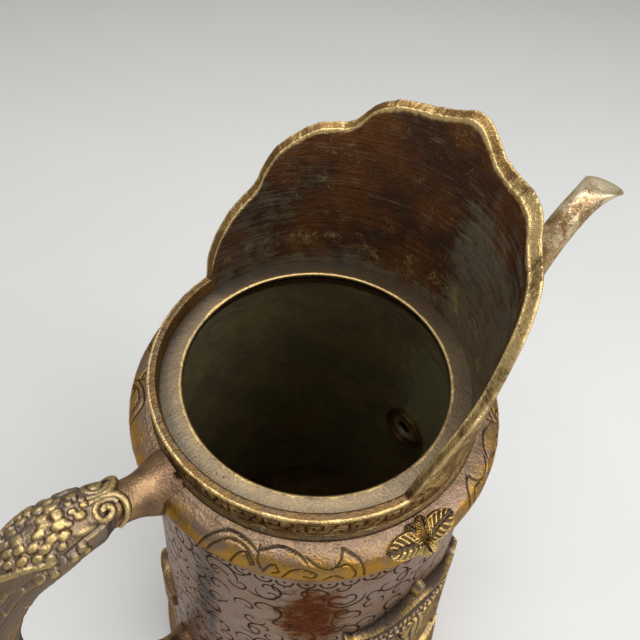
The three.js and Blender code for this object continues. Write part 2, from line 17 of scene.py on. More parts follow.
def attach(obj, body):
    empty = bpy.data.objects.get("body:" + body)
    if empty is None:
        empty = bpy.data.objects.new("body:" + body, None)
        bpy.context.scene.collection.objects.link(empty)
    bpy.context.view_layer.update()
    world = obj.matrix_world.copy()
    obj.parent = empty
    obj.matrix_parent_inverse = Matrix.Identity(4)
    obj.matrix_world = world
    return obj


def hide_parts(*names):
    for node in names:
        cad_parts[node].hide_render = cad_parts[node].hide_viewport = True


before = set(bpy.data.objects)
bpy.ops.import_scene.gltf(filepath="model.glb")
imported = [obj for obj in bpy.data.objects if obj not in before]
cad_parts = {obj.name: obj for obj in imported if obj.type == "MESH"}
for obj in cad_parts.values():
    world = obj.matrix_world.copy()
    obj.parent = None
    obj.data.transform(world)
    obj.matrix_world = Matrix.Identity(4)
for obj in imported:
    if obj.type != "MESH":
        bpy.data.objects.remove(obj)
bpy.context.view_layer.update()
scene = bpy.context.scene
print("nodes:", sorted(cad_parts))

# %% [markdown]
# The camera comes first, because everything is judged through it. It could be placed by eye, but
# its place was worked out from the round mouth and the lip, which are circles seen at a slant, so
# that each piece lands where the photograph has it. It looks down steeply, from the handle's
# side, and it is tilted a little. Sizes below are in millimetres, and one factor turns them to
# metres when a mesh is finished.

# %% Camera
MM = 0.001
EYE = (-73.4, -84.6, 394)
HEADING = atan2(0.756, 0.655)
PITCH, TILT = radians(49.11), radians(-3.59)
LENS, SENSOR = 31.5, 36
UP = Vector((0, 0, 1))


def set_camera():
    """Aim the camera from its eye: heading is level, pitch looks down, tilt leans it over."""
    away = Vector((cos(HEADING), sin(HEADING), 0))
    level = Vector((sin(HEADING), -cos(HEADING), 0))
    forward = away * cos(PITCH) - UP * sin(PITCH)
    down = -away * sin(PITCH) - UP * cos(PITCH)
    across = level * cos(TILT) + down * sin(TILT)
    under = down * cos(TILT) - level * sin(TILT)
    data = bpy.data.cameras.new("camera")
    data.sensor_width = SENSOR
    data.lens = LENS
    data.clip_start = 0.01
    camera = bpy.data.objects.new("camera", data)
    turn = Matrix((across, -under, -forward)).transposed().to_4x4()
    camera.matrix_world = Matrix.Translation(Vector(EYE) * MM) @ turn
    scene.collection.objects.link(camera)
    scene.camera = camera
    return camera


print("camera at", [round(c, 4) for c in set_camera().matrix_world.translation])

# %% [markdown]
# A material is a small graph of nodes. It could be drawn by hand in the shader editor, but a
# script can be read, repeated and changed in one place. Writing each node out takes many lines,
# so one function adds a node of any kind, sets its settings, fills or links its inputs, and
# gives back the output that the next node needs. Colours are written as the hex codes that a
# paint program shows, and another function turns them to the linear values that the renderer
# works with.

# %% Nodes and colours
SOFT = {"interpolation_type": "SMOOTHSTEP"}


def linear(code):
    """Turn an sRGB hex colour into linear RGBA."""
    parts = [int(code[i:i + 2], 16) / 255 for i in (1, 3, 5)]
    return [p / 12.92 if p <= 0.04045 else ((p + 0.055) / 1.055) ** 2.4 for p in parts] + [1]


def node(tree, kind, inputs=(), out=0, **settings):
    """Add one node, set its settings, fill or link its inputs, and give back one output.

    Inputs are a dict by name or number, or a plain tuple of the first ones in their order.
    """
    made = tree.nodes.new("ShaderNode" + kind)
    for key, value in settings.items():
        setattr(made, key, value)
    for key, value in inputs.items() if isinstance(inputs, dict) else enumerate(inputs):
        if isinstance(value, bpy.types.NodeSocket):
            tree.links.new(value, made.inputs[key])
        else:
            made.inputs[key].default_value = linear(value) if isinstance(value, str) else value
    return made.outputs[out] if made.outputs else None


def per_mm(size):
    """Texture scale, in repeats for each metre, for a detail of this size in millimetres."""
    return 1000 / size


print("linear mid grey:", [round(c, 3) for c in linear("#808080")])

# %% [markdown]
# Nothing on old metal has a clean border. A stain painted by hand would look drawn, so every
# border here is broken up with noise: cloudy spots of a known size, and a mask that adds such
# spots to a value before it is cut off softly. These two recipes serve all the finishes below.

# %% Spots and masks
def spots(tree, place, size, detail=4, low=0.4, high=0.6):
    """Cloudy noise with features of this size in millimetres, stretched between two levels."""
    fog = node(tree, "TexNoise", {
        "Vector": place, "Scale": per_mm(size), "Detail": detail, "Roughness": 0.62})
    return node(tree, "MapRange", (fog, low, high))


def mask_of(tree, amount, noises, low, high):
    """Break a value up with noise: amount plus each noise times its share, cut off softly."""
    for cloudy, share in noises:
        amount = node(tree, "Math", (cloudy, share, amount), operation="MULTIPLY_ADD")
    return node(tree, "MapRange", (amount, low, high), **SOFT)


print("a spot of 9 mm repeats", round(per_mm(9), 1), "times in a metre")

# %% [markdown]
# Old brass has three skins. The ground is a brown patina, an oxide that lets some metal shine
# through. Where hands rub it, bare yellow metal shows. In hollows a dull grey-green grime
# gathers. It could be one picture wrapped round each piece, but a picture is tied to one mesh.
# So each mesh carries painted values instead, and the material reads them: wear and grime for
# the skins, in places also painted highlight and shade, line for chased strokes, dark stains
# and painted shade, inside and cool for the walls that one looks down on.
# Small pits and an uneven surface make it a casting and not a plastic copy.

# %% Aged brass
SMALL_SPOT, GRAIN, PIT, PIT_PATCH, UNEVEN = 2.6, 0.8, 1.5, 7, 4.5
METALLIC = 0.9
PIT_COLOUR, CUT_AND_SHADE_COLOUR, CUT_AND_SHADE_EDGE = "#1f170e", "#221a15", "#8a7868"


def aged_brass(name, patina, warm, grime, bare, blotch=9, rough=0.42, lines=None, inside=None,
               relief=0.00012, edge="#c6bbb0"):
    """Cast and chased brass with patina, rubbed high spots and grime in the hollows.

    Patina and warm are the two tones of its ground, blotch is their size in millimetres, relief
    is the depth of the bumps in metres, and edge tints what is seen at a glancing angle. Lines
    is a recipe for chased strokes or the name of a painted value, and inside is a recipe for a
    wall's inner side.
    """
    material = bpy.data.materials.new(name)
    material.use_nodes = True
    tree = material.node_tree
    tree.nodes.clear()
    place = node(tree, "TexCoord", out="Object")
    cloud = spots(tree, place, blotch)
    small = spots(tree, place, SMALL_SPOT, low=0.35, high=0.65)
    grain = spots(tree, place, GRAIN, detail=3, low=0.3, high=0.7)
    colour = node(tree, "Mix", {0: cloud, 6: patina, 7: warm}, 2, data_type="RGBA")
    height, metal = grain, METALLIC
    if inside:
        colour, height, metal, edge = inside(tree, place, colour, grain, edge)
    # Grime lies over the ground, and bare metal over both
    soiled = node(tree, "Attribute", out="Fac", attribute_name="grime")
    soiled = mask_of(tree, soiled, ((cloud, 0.35), (small, 0.3), (grain, 0.25)), 0.7, 1.35)
    colour = node(tree, "Mix", {0: soiled, 6: colour, 7: grime}, 2, data_type="RGBA")
    rubbed = node(tree, "Attribute", out="Fac", attribute_name="wear")
    rubbed = mask_of(tree, rubbed, ((cloud, 0.45), (small, 0.35), (grain, 0.4)), 0.8, 1.5)
    colour = node(tree, "Mix", {0: rubbed, 6: colour, 7: bare}, 2, data_type="RGBA")
    # Pits lie in patches, and the whole surface is a little uneven
    pits = node(tree, "TexVoronoi", {"Vector": place, "Scale": per_mm(PIT), "Randomness": 1})
    pits = node(tree, "MapRange", (pits, 0.12, 0.3, 0.7, 0))
    patches = spots(tree, place, PIT_PATCH, low=0.55, high=0.72)
    pits = node(tree, "Math", (pits, patches), operation="MULTIPLY")
    colour = node(tree, "Mix", {0: pits, 6: colour, 7: PIT_COLOUR}, 2, data_type="RGBA")
    swell = spots(tree, place, UNEVEN, detail=2, low=0, high=1)
    swell = node(tree, "Math", (swell, 3.5), operation="MULTIPLY")
    height = node(tree, "Math", (height, swell), operation="ADD")
    height = node(tree, "Math", (pits, -2, height), operation="MULTIPLY_ADD")
    # The line value darkens chased strokes and dark stains, and in places it is painted shade
    if lines:
        cut = (lines(tree, place) if callable(lines)
               else node(tree, "Attribute", out="Fac", attribute_name=lines))
        colour = node(tree, "Mix", {0: cut, 6: colour, 7: CUT_AND_SHADE_COLOUR}, 2, data_type="RGBA")
        height = node(tree, "Math", (cut, -2.5, height), operation="MULTIPLY_ADD")
        edge = node(tree, "Mix", {0: cut, 6: edge, 7: CUT_AND_SHADE_EDGE}, 2, data_type="RGBA")
    # Rubbed metal is smoother than the patina round it
    gloss = node(tree, "MapRange", {0: grain, 3: rough - 0.05, 4: rough + 0.13})
    gloss = node(tree, "Math", (rubbed, -0.08, gloss), operation="MULTIPLY_ADD")
    bump = node(tree, "Bump", {"Height": height, "Strength": 0.7, "Distance": relief})
    shader = node(tree, "BsdfPrincipled", {
        "Base Color": colour, "Metallic": metal, "Roughness": gloss, "Normal": bump,
        "Specular Tint": edge})
    node(tree, "OutputMaterial", (shader,))
    return material


print("pits are", PIT, "mm apart, in patches of", PIT_PATCH, "mm")

# %% [markdown]
# Stripes and scrolls on a round wall are easier to place on a flat sheet. So the wall is
# unrolled: the angle round the axis, times a radius, gives millimetres round it, and the height
# gives millimetres up. A map of corners would do the same for one mesh, but this works on any
# wall without one. A soft oval patch on that sheet marks where a stain, a worn place or a
# painted dark reflection lies.

# %% Unrolled walls
def round_and_up(tree, place, radius):
    """Unroll a round wall: millimetres round it from its near side, and millimetres up."""
    apart = node(tree, "SeparateXYZ", (place,)).node.outputs
    back = node(tree, "Math", (apart["Y"], -1), operation="MULTIPLY")
    turn = node(tree, "Math", (apart["X"], back), operation="ARCTAN2")
    across = node(tree, "Math", (turn, radius), operation="MULTIPLY")
    up = node(tree, "Math", (apart["Z"], 1000), operation="MULTIPLY")
    return across, up


def patch(tree, across, up, middle, half):
    """A soft oval patch on an unrolled wall, by its middle and half sizes in millimetres."""
    x, y = (node(tree, "Math", (way, 1 / size, -at / size), operation="MULTIPLY_ADD")
            for way, at, size in zip((across, up), middle, half))
    spot = node(tree, "CombineXYZ", (x, y))
    away = node(tree, "VectorMath", (spot,), "Value", operation="LENGTH")
    return node(tree, "MapRange", (away, 0.35, 1.2, 1, 0), **SOFT)


BODY_ROUND = 68
print("the body unrolls to", round(2 * pi * BODY_ROUND), "mm")

# %% [markdown]
# The body is chased all over with small cloud scrolls. A chaser punches them one by one, by eye,
# and no two are alike. Hundreds of drawn curves would be needed for that in the mesh, so they
# are drawn in the material: the sheet is split into uneven cells, and in each one a line winds
# round the cell's middle, left or right handed by chance. A row of scallops closes the drawing
# under the shoulder ring.

# %% Chased scrolls
LARGE_SCROLLS = (17.5, 10.5, 9.2, 0.6, 0)
SMALL_SCROLLS = (12, 5.6, 5.2, 0.5, 37)
SCALLOPS, SCALLOP_ROW, SCALLOP = 54, 207.5, 2.7
RED_SPOT = (-45, 178)


def winding_lines(tree, sheet, size, pitch, reach, width, shift):
    """One layer of scrolls, in millimetres: cell size, pitch of the winding, where it ends,
    width of the line, and a shift that parts its cells from another layer's."""
    moved = node(tree, "VectorMath", (sheet, (shift, shift, 0)), operation="ADD")
    cells = node(tree, "TexVoronoi", {"Vector": moved, "Scale": 1 / size, "Randomness": 0.45},
                 voronoi_dimensions="2D").node.outputs
    offset = node(tree, "VectorMath", (moved, cells["Position"]), operation="SUBTRACT")
    part = node(tree, "SeparateXYZ", (offset,)).node.outputs
    chance = node(tree, "SeparateColor", (cells["Color"],)).node.outputs
    hand = node(tree, "Math", (chance["Green"], 0.5), operation="GREATER_THAN")
    hand = node(tree, "Math", (hand, 2, -1), operation="MULTIPLY_ADD")
    beside = node(tree, "Math", (part["X"], hand), operation="MULTIPLY")
    angle = node(tree, "Math", (part["Y"], beside), operation="ARCTAN2")
    away = node(tree, "VectorMath", (offset,), "Value", operation="LENGTH")
    wound = node(tree, "Math", (angle, 1 / (2 * pi), chance["Red"]), operation="MULTIPLY_ADD")
    wound = node(tree, "Math", (away, 1 / pitch, wound), operation="MULTIPLY_ADD")
    share = node(tree, "Math", (wound,), operation="FRACT")
    gap = node(tree, "Math", (share, 0.5), operation="SUBTRACT")
    gap = node(tree, "Math", (gap,), operation="ABSOLUTE")
    line = node(tree, "MapRange", (gap, 0.5 * width / pitch, 1.3 * width / pitch, 1, 0), **SOFT)
    ended = node(tree, "MapRange", (away, reach, reach + 0.6, 1, 0), **SOFT)
    return node(tree, "Math", (line, ended), operation="MULTIPLY")


def scallops_over(tree, across, up, total):
    """A row of small scallops right under the shoulder ring, over the scrolls so far."""
    turns = node(tree, "Math", (across, SCALLOPS / (2 * pi * BODY_ROUND), 0.5),
                 operation="MULTIPLY_ADD")
    share = node(tree, "Math", (turns,), operation="FRACT")
    x = node(tree, "Math", (share, 7, -3.5), operation="MULTIPLY_ADD")
    y = node(tree, "Math", (up, SCALLOP_ROW), operation="SUBTRACT")
    petal = node(tree, "CombineXYZ", (x, y))
    away = node(tree, "VectorMath", (petal,), "Value", operation="LENGTH")
    rim = node(tree, "Math", (away, SCALLOP), operation="SUBTRACT")
    rim = node(tree, "Math", (rim,), operation="ABSOLUTE")
    rim = node(tree, "MapRange", (rim, 0.2, 0.7, 1, 0), **SOFT)
    lower_half = node(tree, "MapRange", (y, 0, 1, 1, 0), **SOFT)
    rim = node(tree, "Math", (rim, lower_half), operation="MULTIPLY")
    eye = node(tree, "MapRange", (away, 0.3, 0.9, 1, 0), **SOFT)
    under = node(tree, "Math", (up, SCALLOP_ROW - 2.9), operation="LESS_THAN")
    total = node(tree, "Math", (total, under), operation="MULTIPLY")
    total = node(tree, "Math", (total, rim), operation="MAXIMUM")
    return node(tree, "Math", (total, eye), operation="MAXIMUM")


def scroll_lines(tree, place):
    """All chased lines of the body, thin where it is worn and gone on its smooth inside."""
    across, up = round_and_up(tree, place, BODY_ROUND)
    sheet = node(tree, "CombineXYZ", (across, up))
    total = node(tree, "Attribute", out="Fac", attribute_name="line")
    for scrolls in (LARGE_SCROLLS, SMALL_SCROLLS):
        drawn = winding_lines(tree, sheet, *scrolls)
        total = node(tree, "Math", (total, drawn), operation="MAXIMUM")
    total = scallops_over(tree, across, up, total)
    worn = patch(tree, across, up, RED_SPOT, (12, 26))
    left = node(tree, "Math", (worn, -0.65, 1), operation="MULTIPLY_ADD")
    total = node(tree, "Math", (total, left), operation="MULTIPLY")
    outer = node(tree, "Attribute", out="Fac", attribute_name="inside")
    outer = node(tree, "Math", (outer, -0.8, 0.8), operation="MULTIPLY_ADD")
    return node(tree, "Math", (total, outer), operation="MULTIPLY")


print("large scrolls are", LARGE_SCROLLS[0], "mm apart, small ones", SMALL_SCROLLS[0], "mm")

# %% [markdown]
# The inner sides of the crest and the body were turned on a lathe, and nobody polishes them.
# They show long scratches round the wall, red and dark stains, and a cool film where water
# stood. The scratches are one noise, squeezed flat along the wall. A picture could hold all of
# this too, but it would need a seam. The same recipe with other colours serves both walls.

# %% Walls seen from inside
INSIDE_ROUND = 52
STREAKS_EACH_MM, STREAK_STRETCH = 0.62, 0.055


def walls_inside(dark, red, fleck, cool, streak, metallic):
    """A finish for walls seen from inside: turned streaks, stains and a film, where painted."""
    def mixed(tree, place, ground, grain, edge):
        across, up = round_and_up(tree, place, INSIDE_ROUND)
        long_way = node(tree, "Math", (across, STREAK_STRETCH), operation="MULTIPLY")
        sheet = node(tree, "CombineXYZ", (long_way, up))
        streaks = node(tree, "TexNoise", {
            "Vector": sheet, "Scale": STREAKS_EACH_MM, "Detail": 6, "Roughness": 0.7,
            "Distortion": 0.6})
        reddish = spots(tree, place, 22, 6, 0.42, 0.58)
        wall = node(tree, "Mix", {0: reddish, 6: dark, 7: red}, 2, data_type="RGBA")
        for size, low, high, share, stain in (
                (4, 0.5, 0.7, 0.6, dark), (7, 0.54, 0.72, 0.55, fleck)):
            stained = spots(tree, place, size, 6, low, high)
            stained = node(tree, "Math", (stained, share), operation="MULTIPLY")
            wall = node(tree, "Mix", {0: stained, 6: wall, 7: stain}, 2, data_type="RGBA")
        film = node(tree, "Attribute", out="Fac", attribute_name="cool")
        film = mask_of(tree, film, ((spots(tree, place, 5, 6), 0.45), (streaks, 2.2)), 1.4, 2.4)
        film = node(tree, "Math", (film, 0.75), operation="MULTIPLY")
        wall = node(tree, "Mix", {0: film, 6: wall, 7: cool}, 2, data_type="RGBA")
        lit = node(tree, "MapRange", (streaks, 0.6, 0.8, 0, 0.5))
        wall = node(tree, "Mix", {0: lit, 6: wall, 7: streak}, 2, data_type="RGBA")
        mask = node(tree, "Attribute", out="Fac", attribute_name="inside")
        rib = node(tree, "Math", (streaks, 4), operation="MULTIPLY")
        height = node(tree, "Math", (rib, mask, grain), operation="MULTIPLY_ADD")
        metal = node(tree, "MapRange", {0: mask, 3: METALLIC, 4: metallic})
        colour = node(tree, "Mix", {0: mask, 6: ground, 7: wall}, 2, data_type="RGBA")
        return colour, height, metal, edge
    return mixed


# Brass that stood full for years: an olive tarnish that hardly shines, with paler streaks
olive_walls = walls_inside("#8d8162", "#a39467", "#6d6048", "#c6c69c", "#b0a682", 0.25)
# Brass left dark for years: red-brown with golden flecks and a grey film, half metallic
red_walls = walls_inside("#553c2c", "#7a4c2b", "#8c6438", "#989079", "#a8946c", 0.6)


def body_stains(tree, place, ground, grain, edge):
    """The body's patina, its red-brown spot and a painted dark reflection by the handle."""
    across, up = round_and_up(tree, place, BODY_ROUND)
    cloud = spots(tree, place, 6)
    red = patch(tree, across, up, RED_SPOT, (16, 34))
    red = mask_of(tree, red, ((cloud, 0.45), (grain, 0.25)), 0.4, 1.5)
    ground = node(tree, "Mix", {0: red, 6: ground, 7: "#6c4526"}, 2, data_type="RGBA")
    # Painted reflection: a dark upright stripe beside the handle
    dark_reflection = mask_of(tree, patch(tree, across, up, (-89, 165), (7, 70)), ((cloud, 0.5),), 0.6, 1.4)
    ground = node(tree, "Mix", {0: dark_reflection, 6: ground, 7: "#4a3a30"}, 2, data_type="RGBA")
    edge = node(tree, "Mix", {0: red, 6: edge, 7: "#8a6242"}, 2, data_type="RGBA")
    return olive_walls(tree, place, ground, grain, edge)


print("turned streaks are", round(1 / STREAKS_EACH_MM, 1), "mm wide and",
      round(1 / STREAKS_EACH_MM / STREAK_STRETCH), "mm long")

# %% [markdown]
# All of the ewer is brass, but each part was made and is handled in another way, so each gets
# its own mix. Metallic, roughness and colour start from plain brass, about #c9a45a at roughness
# 0.3, and are then matched to the photograph. Patina is darker and duller than that, rubbed
# metal is close to it.

# %% The ewer's brasses
# Sheet brass, hammered and chased: an even mauve-brown skin with a satin sheen, whose cut lines
# stay dark, and big soft blotches
chased_body = aged_brass(
    "chased_body_brass", "#8a7363", "#87664f", "#4d443c", "#a9855a", blotch=18, rough=0.34,
    lines=scroll_lines, relief=0.00022, inside=body_stains, edge="#fdfaf6")
# Cast brass that a cloth reaches now and then: brown, with soft tan high spots
brown_brass = aged_brass(
    "rubbed_brown_brass", "#785d4a", "#927555", "#5f564d", "#c9ac7a", rough=0.34)
# Cast and turned brass, left dark on its faces: deep brown, with a thin bright worn edge
dark_brass = aged_brass(
    "dark_turned_brass", "#75593a", "#8a6b3a", "#544a3e", "#d3b67e", rough=0.36,
    lines="line", inside=red_walls, relief=0.00018)
# Turned plate with dust rubbed into its patina: a grey-brown, almost matt face, smooth to touch
grey_brass = aged_brass(
    "grey_plate_brass", "#7a6b57", "#867357", "#69665f", "#cdb078", rough=0.4,
    lines="line", relief=0.00006)
# Cast ring that sleeves and hands polish: deep gold patches through mauve-brown, glossier
worn_brass = aged_brass(
    "worn_gold_brass", "#88705f", "#8f7350", "#6a5f58", "#ab8039", rough=0.27,
    lines="line")
# Small sharp casting: pale bright ribs that stand out of dark grooves
leaf_brass = aged_brass(
    "cast_leaf_brass", "#88745a", "#8f7858", "#574d42", "#d4b472", rough=0.32,
    lines="line")
# Flat casting with deep detail: mauve-grey in its seams, tan on tiles and beads
roof_brass = aged_brass(
    "cast_roof_brass", "#766860", "#7e6a56", "#544b44", "#c6a466", rough=0.36,
    lines="line")
# Casting that the thumb rests on: yellow scales and curls over grey-brown hollows, partly worn
# and dirty, partly painted highlight and shade
beast_brass = aged_brass(
    "cast_beast_brass", "#7d7064", "#86725c", "#625b54", "#b99f6c", rough=0.34)
# Bent tube that is wiped at its lip: smooth warm tan that pales towards the lip, partly by
# wiping and partly as a painted highlight
spout_brass = aged_brass(
    "worn_spout_brass", "#866a4a", "#a8865a", "#5f564d", "#e8d6b2", rough=0.3)
print("materials:", len(bpy.data.materials))

# %% [markdown]
# Every piece is finished in the same way. Doubled corners are merged, faces are turned outwards,
# the mesh is brought from millimetres to metres, and edges sharper than a fixed angle stay crisp
# while the rest is shaded smooth. That could be done by hand for each piece, but one function
# forgets nothing. The piece then rides on the ewer and stands for its measured node.

# %% Finish a piece
PAINTED = ("wear", "grime", "line", "inside", "cool")
MERGE = 0.0005


def paints(bm):
    """The painted values that the materials read, made where they are missing."""
    kinds = bm.verts.layers.float
    return SimpleNamespace(**{name: kinds.get(name) or kinds.new(name) for name in PAINTED})


def make_piece(name, bm, finish, slot, *stands_for, sharp=40):
    """Turn a mesh in millimetres into a finished piece of the ewer."""
    bmesh.ops.remove_doubles(bm, verts=bm.verts, dist=MERGE)
    bmesh.ops.recalc_face_normals(bm, faces=bm.faces)
    bmesh.ops.scale(bm, vec=(MM, MM, MM), verts=bm.verts)
    mesh = bpy.data.meshes.new(name)
    bm.to_mesh(mesh)
    bm.free()
    mesh.shade_smooth()
    mesh.set_sharp_from_angle(angle=radians(sharp))
    mesh.materials.append(finish)
    piece = bpy.data.objects.new(name, mesh)
    scene.collection.objects.link(piece)
    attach(piece, "root")
    if stands_for:
        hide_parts(*stands_for)
    print(name, "has", len(mesh.polygons), "faces")


def copy_node(name):
    """A copy of a measured node, in millimetres, with its loose triangles merged."""
    bm = bmesh.new()
    bm.from_mesh(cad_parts[name].data)
    bmesh.ops.scale(bm, vec=(1000, 1000, 1000), verts=bm.verts)
    bmesh.ops.remove_doubles(bm, verts=bm.verts, dist=MERGE)
    paints(bm)
    return bm


def smooth(x, low, high):
    """Rise from 0 to 1 between low and high, with soft ends."""
    t = min(1, max(0, (x - low) / (high - low)))
    return t * t * (3 - 2 * t)


print("each mesh carries", ", ".join(PAINTED))

# %% [markdown]
# The body is a tapered tube of sheet brass, hammered and turned, with the spout's port cut low
# in one side. It could be spun anew, but the measured shape is right and its port is already
# cut, so a merged copy of it is used. Level cuts give it corners all the way up, which carry
# the paint: its inner side gets the olive finish, paler towards the spout and the handle. Base
# and foot are the measured ones too. The base lies deep in the body and is painted dark all
# over as shade, and the foot's outer rim is rubbed.

# %% Body, base and foot
SHEET = 2.4
BAND = 6


def body_radius(height):
    """Outside radius of the body at a height: it narrows evenly towards the shoulder."""
    return 57.7 + 0.11 * (230 - height)


body = copy_node("body_wall")
for level in range(15, 230, BAND):
    bmesh.ops.bisect_plane(body, geom=body.verts[:] + body.edges[:] + body.faces[:],
                           plane_co=(0, 0, level), plane_no=(0, 0, 1))
paint = paints(body)
for v in body.verts:
    turn = degrees(atan2(v.co.y, v.co.x))
    v[paint.inside] = 1.0 if hypot(v.co.x, v.co.y) < body_radius(v.co.z) - SHEET / 2 else 0.0
    pale = max(1 - smooth(abs(turn + 32), 12, 50), 1 - smooth(abs(abs(turn) - 165), 10, 40))
    v[paint.cool] = 1.7 * pale * (1 - smooth(abs(v.co.z - 165), 20, 65)) * v[paint.inside]
make_piece("body", body, chased_body, "engraved_brown_brass", "body_wall")

base = copy_node("base_plate")
paint = paints(base)
# Painted shade: the base, deep in the body, is painted dark all over
for v in base.verts:
    v[paint.line] = 0.75
make_piece("base", base, dark_brass, "dark_brass", "base_plate")

foot = copy_node("foot_ring")
paint = paints(foot)
for v in foot.verts:
    v[paint.wear] = 0.5 * smooth(hypot(v.co.x, v.co.y), 85, 87)
make_piece("foot", foot, worn_brass, "worn_brass", "foot_ring")

# %% [markdown]
# A chasing tool is a blunt punch. Tapped along the metal it leaves a shallow, dark line. It
# could be cut with hundreds of small cutters, or faked with a bump alone, but then the outline
# would stay smooth. Here a line is a smooth curve of (along, up) points in millimetres. Each
# corner of a fine mesh asks how far the nearest line is, sinks a little where it is close, and
# is painted dark there. The curves are sorted in strips, so that each corner asks only a few.

# %% Chased lines
STRIP = 2


def through(points, steps):
    """A smooth curve through the points, with this many steps between each two."""
    curve = []
    last = len(points) - 1
    for k in range(last):
        a, b, c, d = (Vector(points[min(last, max(0, k + i))]) for i in (-1, 0, 1, 2))
        u, w = (c - a) / 2, (d - b) / 2
        for i in range(steps):
            t = i / steps
            curve.append(b + u * t + (3 * (c - b) - 2 * u - w) * t * t
                         + (2 * (b - c) + u + w) * t ** 3)
    curve.append(Vector(points[last]))
    return curve


def to_segment(x, y, a, b):
    """Distance of the point (x, y) from the straight line between a and b."""
    dx, dy = b[0] - a[0], b[1] - a[1]
    share = ((x - a[0]) * dx + (y - a[1]) * dy) / max(dx * dx + dy * dy, 1e-9)
    share = min(1, max(0, share))
    return hypot(x - a[0] - share * dx, y - a[1] - share * dy)


class Drawing:
    """Curves on a flat sheet, sorted in strips, that tell how near a point is to a curve."""

    def __init__(self, curves, width, bent=True):
        self.width = width
        self.strips = {}
        for curve in curves:
            points = [(p.x, p.y) for p in through(curve, 5)] if bent else curve
            for a, b in zip(points, points[1:]):
                low, high = sorted((a[0], b[0]))
                for key in range(int((low - width) // STRIP), int((high + width) // STRIP) + 1):
                    self.strips.setdefault(key, []).append((a, b))

    def depth(self, x, y):
        """From 1 on a curve down to 0 beside it."""
        near = min((to_segment(x, y, a, b) for a, b in self.strips.get(int(x // STRIP), ())),
                   default=self.width)
        return 1 - smooth(near, 0.25 * self.width, self.width)


check = Drawing([[(0, 0), (10, 0)]], 0.5, bent=False)
print("depth on a line and 0.3 mm beside it:", check.depth(5, 0), round(check.depth(5, 0.3), 2))

# %% [markdown]
# The shoulder ring is a cast roll. A torus would be too plain for it, so it is turned from its
# own outline, with many points, fine enough for the lines that a chasing tool cut into it. Each
# point keeps its row's number, so that a corner knows how far up the roll it lies.

# %% The ring's shape
ROLL_FOOT, ROLL_TOP, ROLL_OUT = 215, 234, 64.3
ROLL_PARTS = 14
RING_STEPS = 800


def turned_ring(profile, steps):
    """Spin a closed outline of (radius, height) points round the ewer's axis."""
    bm = bmesh.new()
    paints(bm)
    row = bm.verts.layers.float.new("row")
    corners = []
    for i, (radius, height) in enumerate(profile):
        corners.append(bm.verts.new((radius, 0, height)))
        corners[-1][row] = i
    edges = [bm.edges.new((corners[i - 1], corners[i])) for i in range(len(corners))]
    bmesh.ops.spin(bm, geom=corners + edges, cent=(0, 0, 0), axis=(0, 0, 1), angle=2 * pi,
                   steps=steps, use_merge=True)
    return bm, row


low = body_radius(ROLL_FOOT)
roll = [(low + 1.6, ROLL_FOOT), (63.2, 222.03), (ROLL_OUT, 227.16), (62.4, 232.1),
        (57.6, ROLL_TOP)]
ROLL = [(p.x, p.y) for p in through(roll, ROLL_PARTS)]
# The roll goes up outside; the outline then turns inwards, and back down under the groove
outline = [(low + 0.3, ROLL_FOOT)] + ROLL + [(49.8, ROLL_TOP), (49.8, 230.3), (58, 230.3)]
climb = [0.0]
for a, b in zip(outline[1:], outline[2:]):
    climb.append(climb[-1] + hypot(b[0] - a[0], b[1] - a[1]))
print("the roll is", round(climb[len(ROLL) - 1], 1), "mm long from foot to top")

# %% [markdown]
# The ring's scrolls were read off the photograph between the handle and the leaf spray, in
# degrees round the ewer and millimetres up the roll. They are mirrored about the spray, and both
# halves of the ring are the same. The part towards the spout is out of sight in the photograph,
# so it gets plain scrolls and arcs of the same size. Lines could be scattered by chance instead,
# but scrolls this large are seen one by one. Sleeves have rubbed the lower half golden.

# %% Shoulder ring
SPRAY = -98
UPPER_SCROLLS = [
    [(-160, 12.5), (-158, 18), (-153, 22.4), (-147, 21.6), (-143.5, 19.4)],
    [(-157.4, 12.5), (-155.8, 17), (-152, 20.4), (-147.5, 20), (-145, 17.8), (-144, 15.5)],
    [(-150.5, 12.5), (-149, 17), (-146.8, 18.6), (-144.6, 15)],
    [(-143.5, 21.6), (-143.3, 18), (-142, 15)],
    [(-143, 20.4), (-138, 22.6), (-133, 21.2), (-130.5, 19)],
    [(-141.5, 13.5), (-140.3, 16.4), (-138.6, 17.2), (-137.4, 15), (-139, 14)],
    [(-136.5, 12.5), (-134.5, 16), (-131.5, 17), (-128, 15.4), (-129, 13.6), (-131, 14.4)],
    [(-130.5, 20.2), (-127.5, 18), (-124.5, 17), (-122, 19), (-121, 22.4)],
    [(-121, 22.6), (-118, 20.4), (-116, 17), (-115.5, 12.5)],
    [(-122.8, 17.4), (-120, 18.2), (-118, 15.4), (-118.2, 12.5)],
    [(-126, 12.5), (-123.5, 14.6), (-121, 12.8)],
]
FRONT_SCROLLS = [
    [(-36, 13), (-32, 20), (-27, 22.4), (-22, 20), (-21, 16.5)],
    [(-32, 12.5), (-29, 17), (-25, 18), (-24, 15)],
    [(-20, 12.5), (-17, 19), (-12, 22), (-6, 20), (0, 15.5)],
    [(-16, 12.5), (-12, 17.5), (-7, 17), (-6, 14)],
]
for turn in range(-172, 0, 16):
    for wide, narrow, hip, top in ((7.5, 5, 8.6, 10.6), (4.5, 3, 6.8, 8.2)):
        FRONT_SCROLLS.append([(turn - wide, 4), (turn - narrow, hip), (turn, top),
                              (turn + narrow, hip), (turn + wide, 4)])
mirrored = [[(2 * SPRAY - turn, up) for turn, up in curve] for curve in UPPER_SCROLLS]
per_degree = ROLL_OUT * radians(1)
ring_lines = Drawing([[(turn * per_degree, up) for turn, up in curve]
                      for curve in UPPER_SCROLLS + mirrored + FRONT_SCROLLS], 0.5)
ring, row_layer = turned_ring(outline, RING_STEPS)
paint = paints(ring)
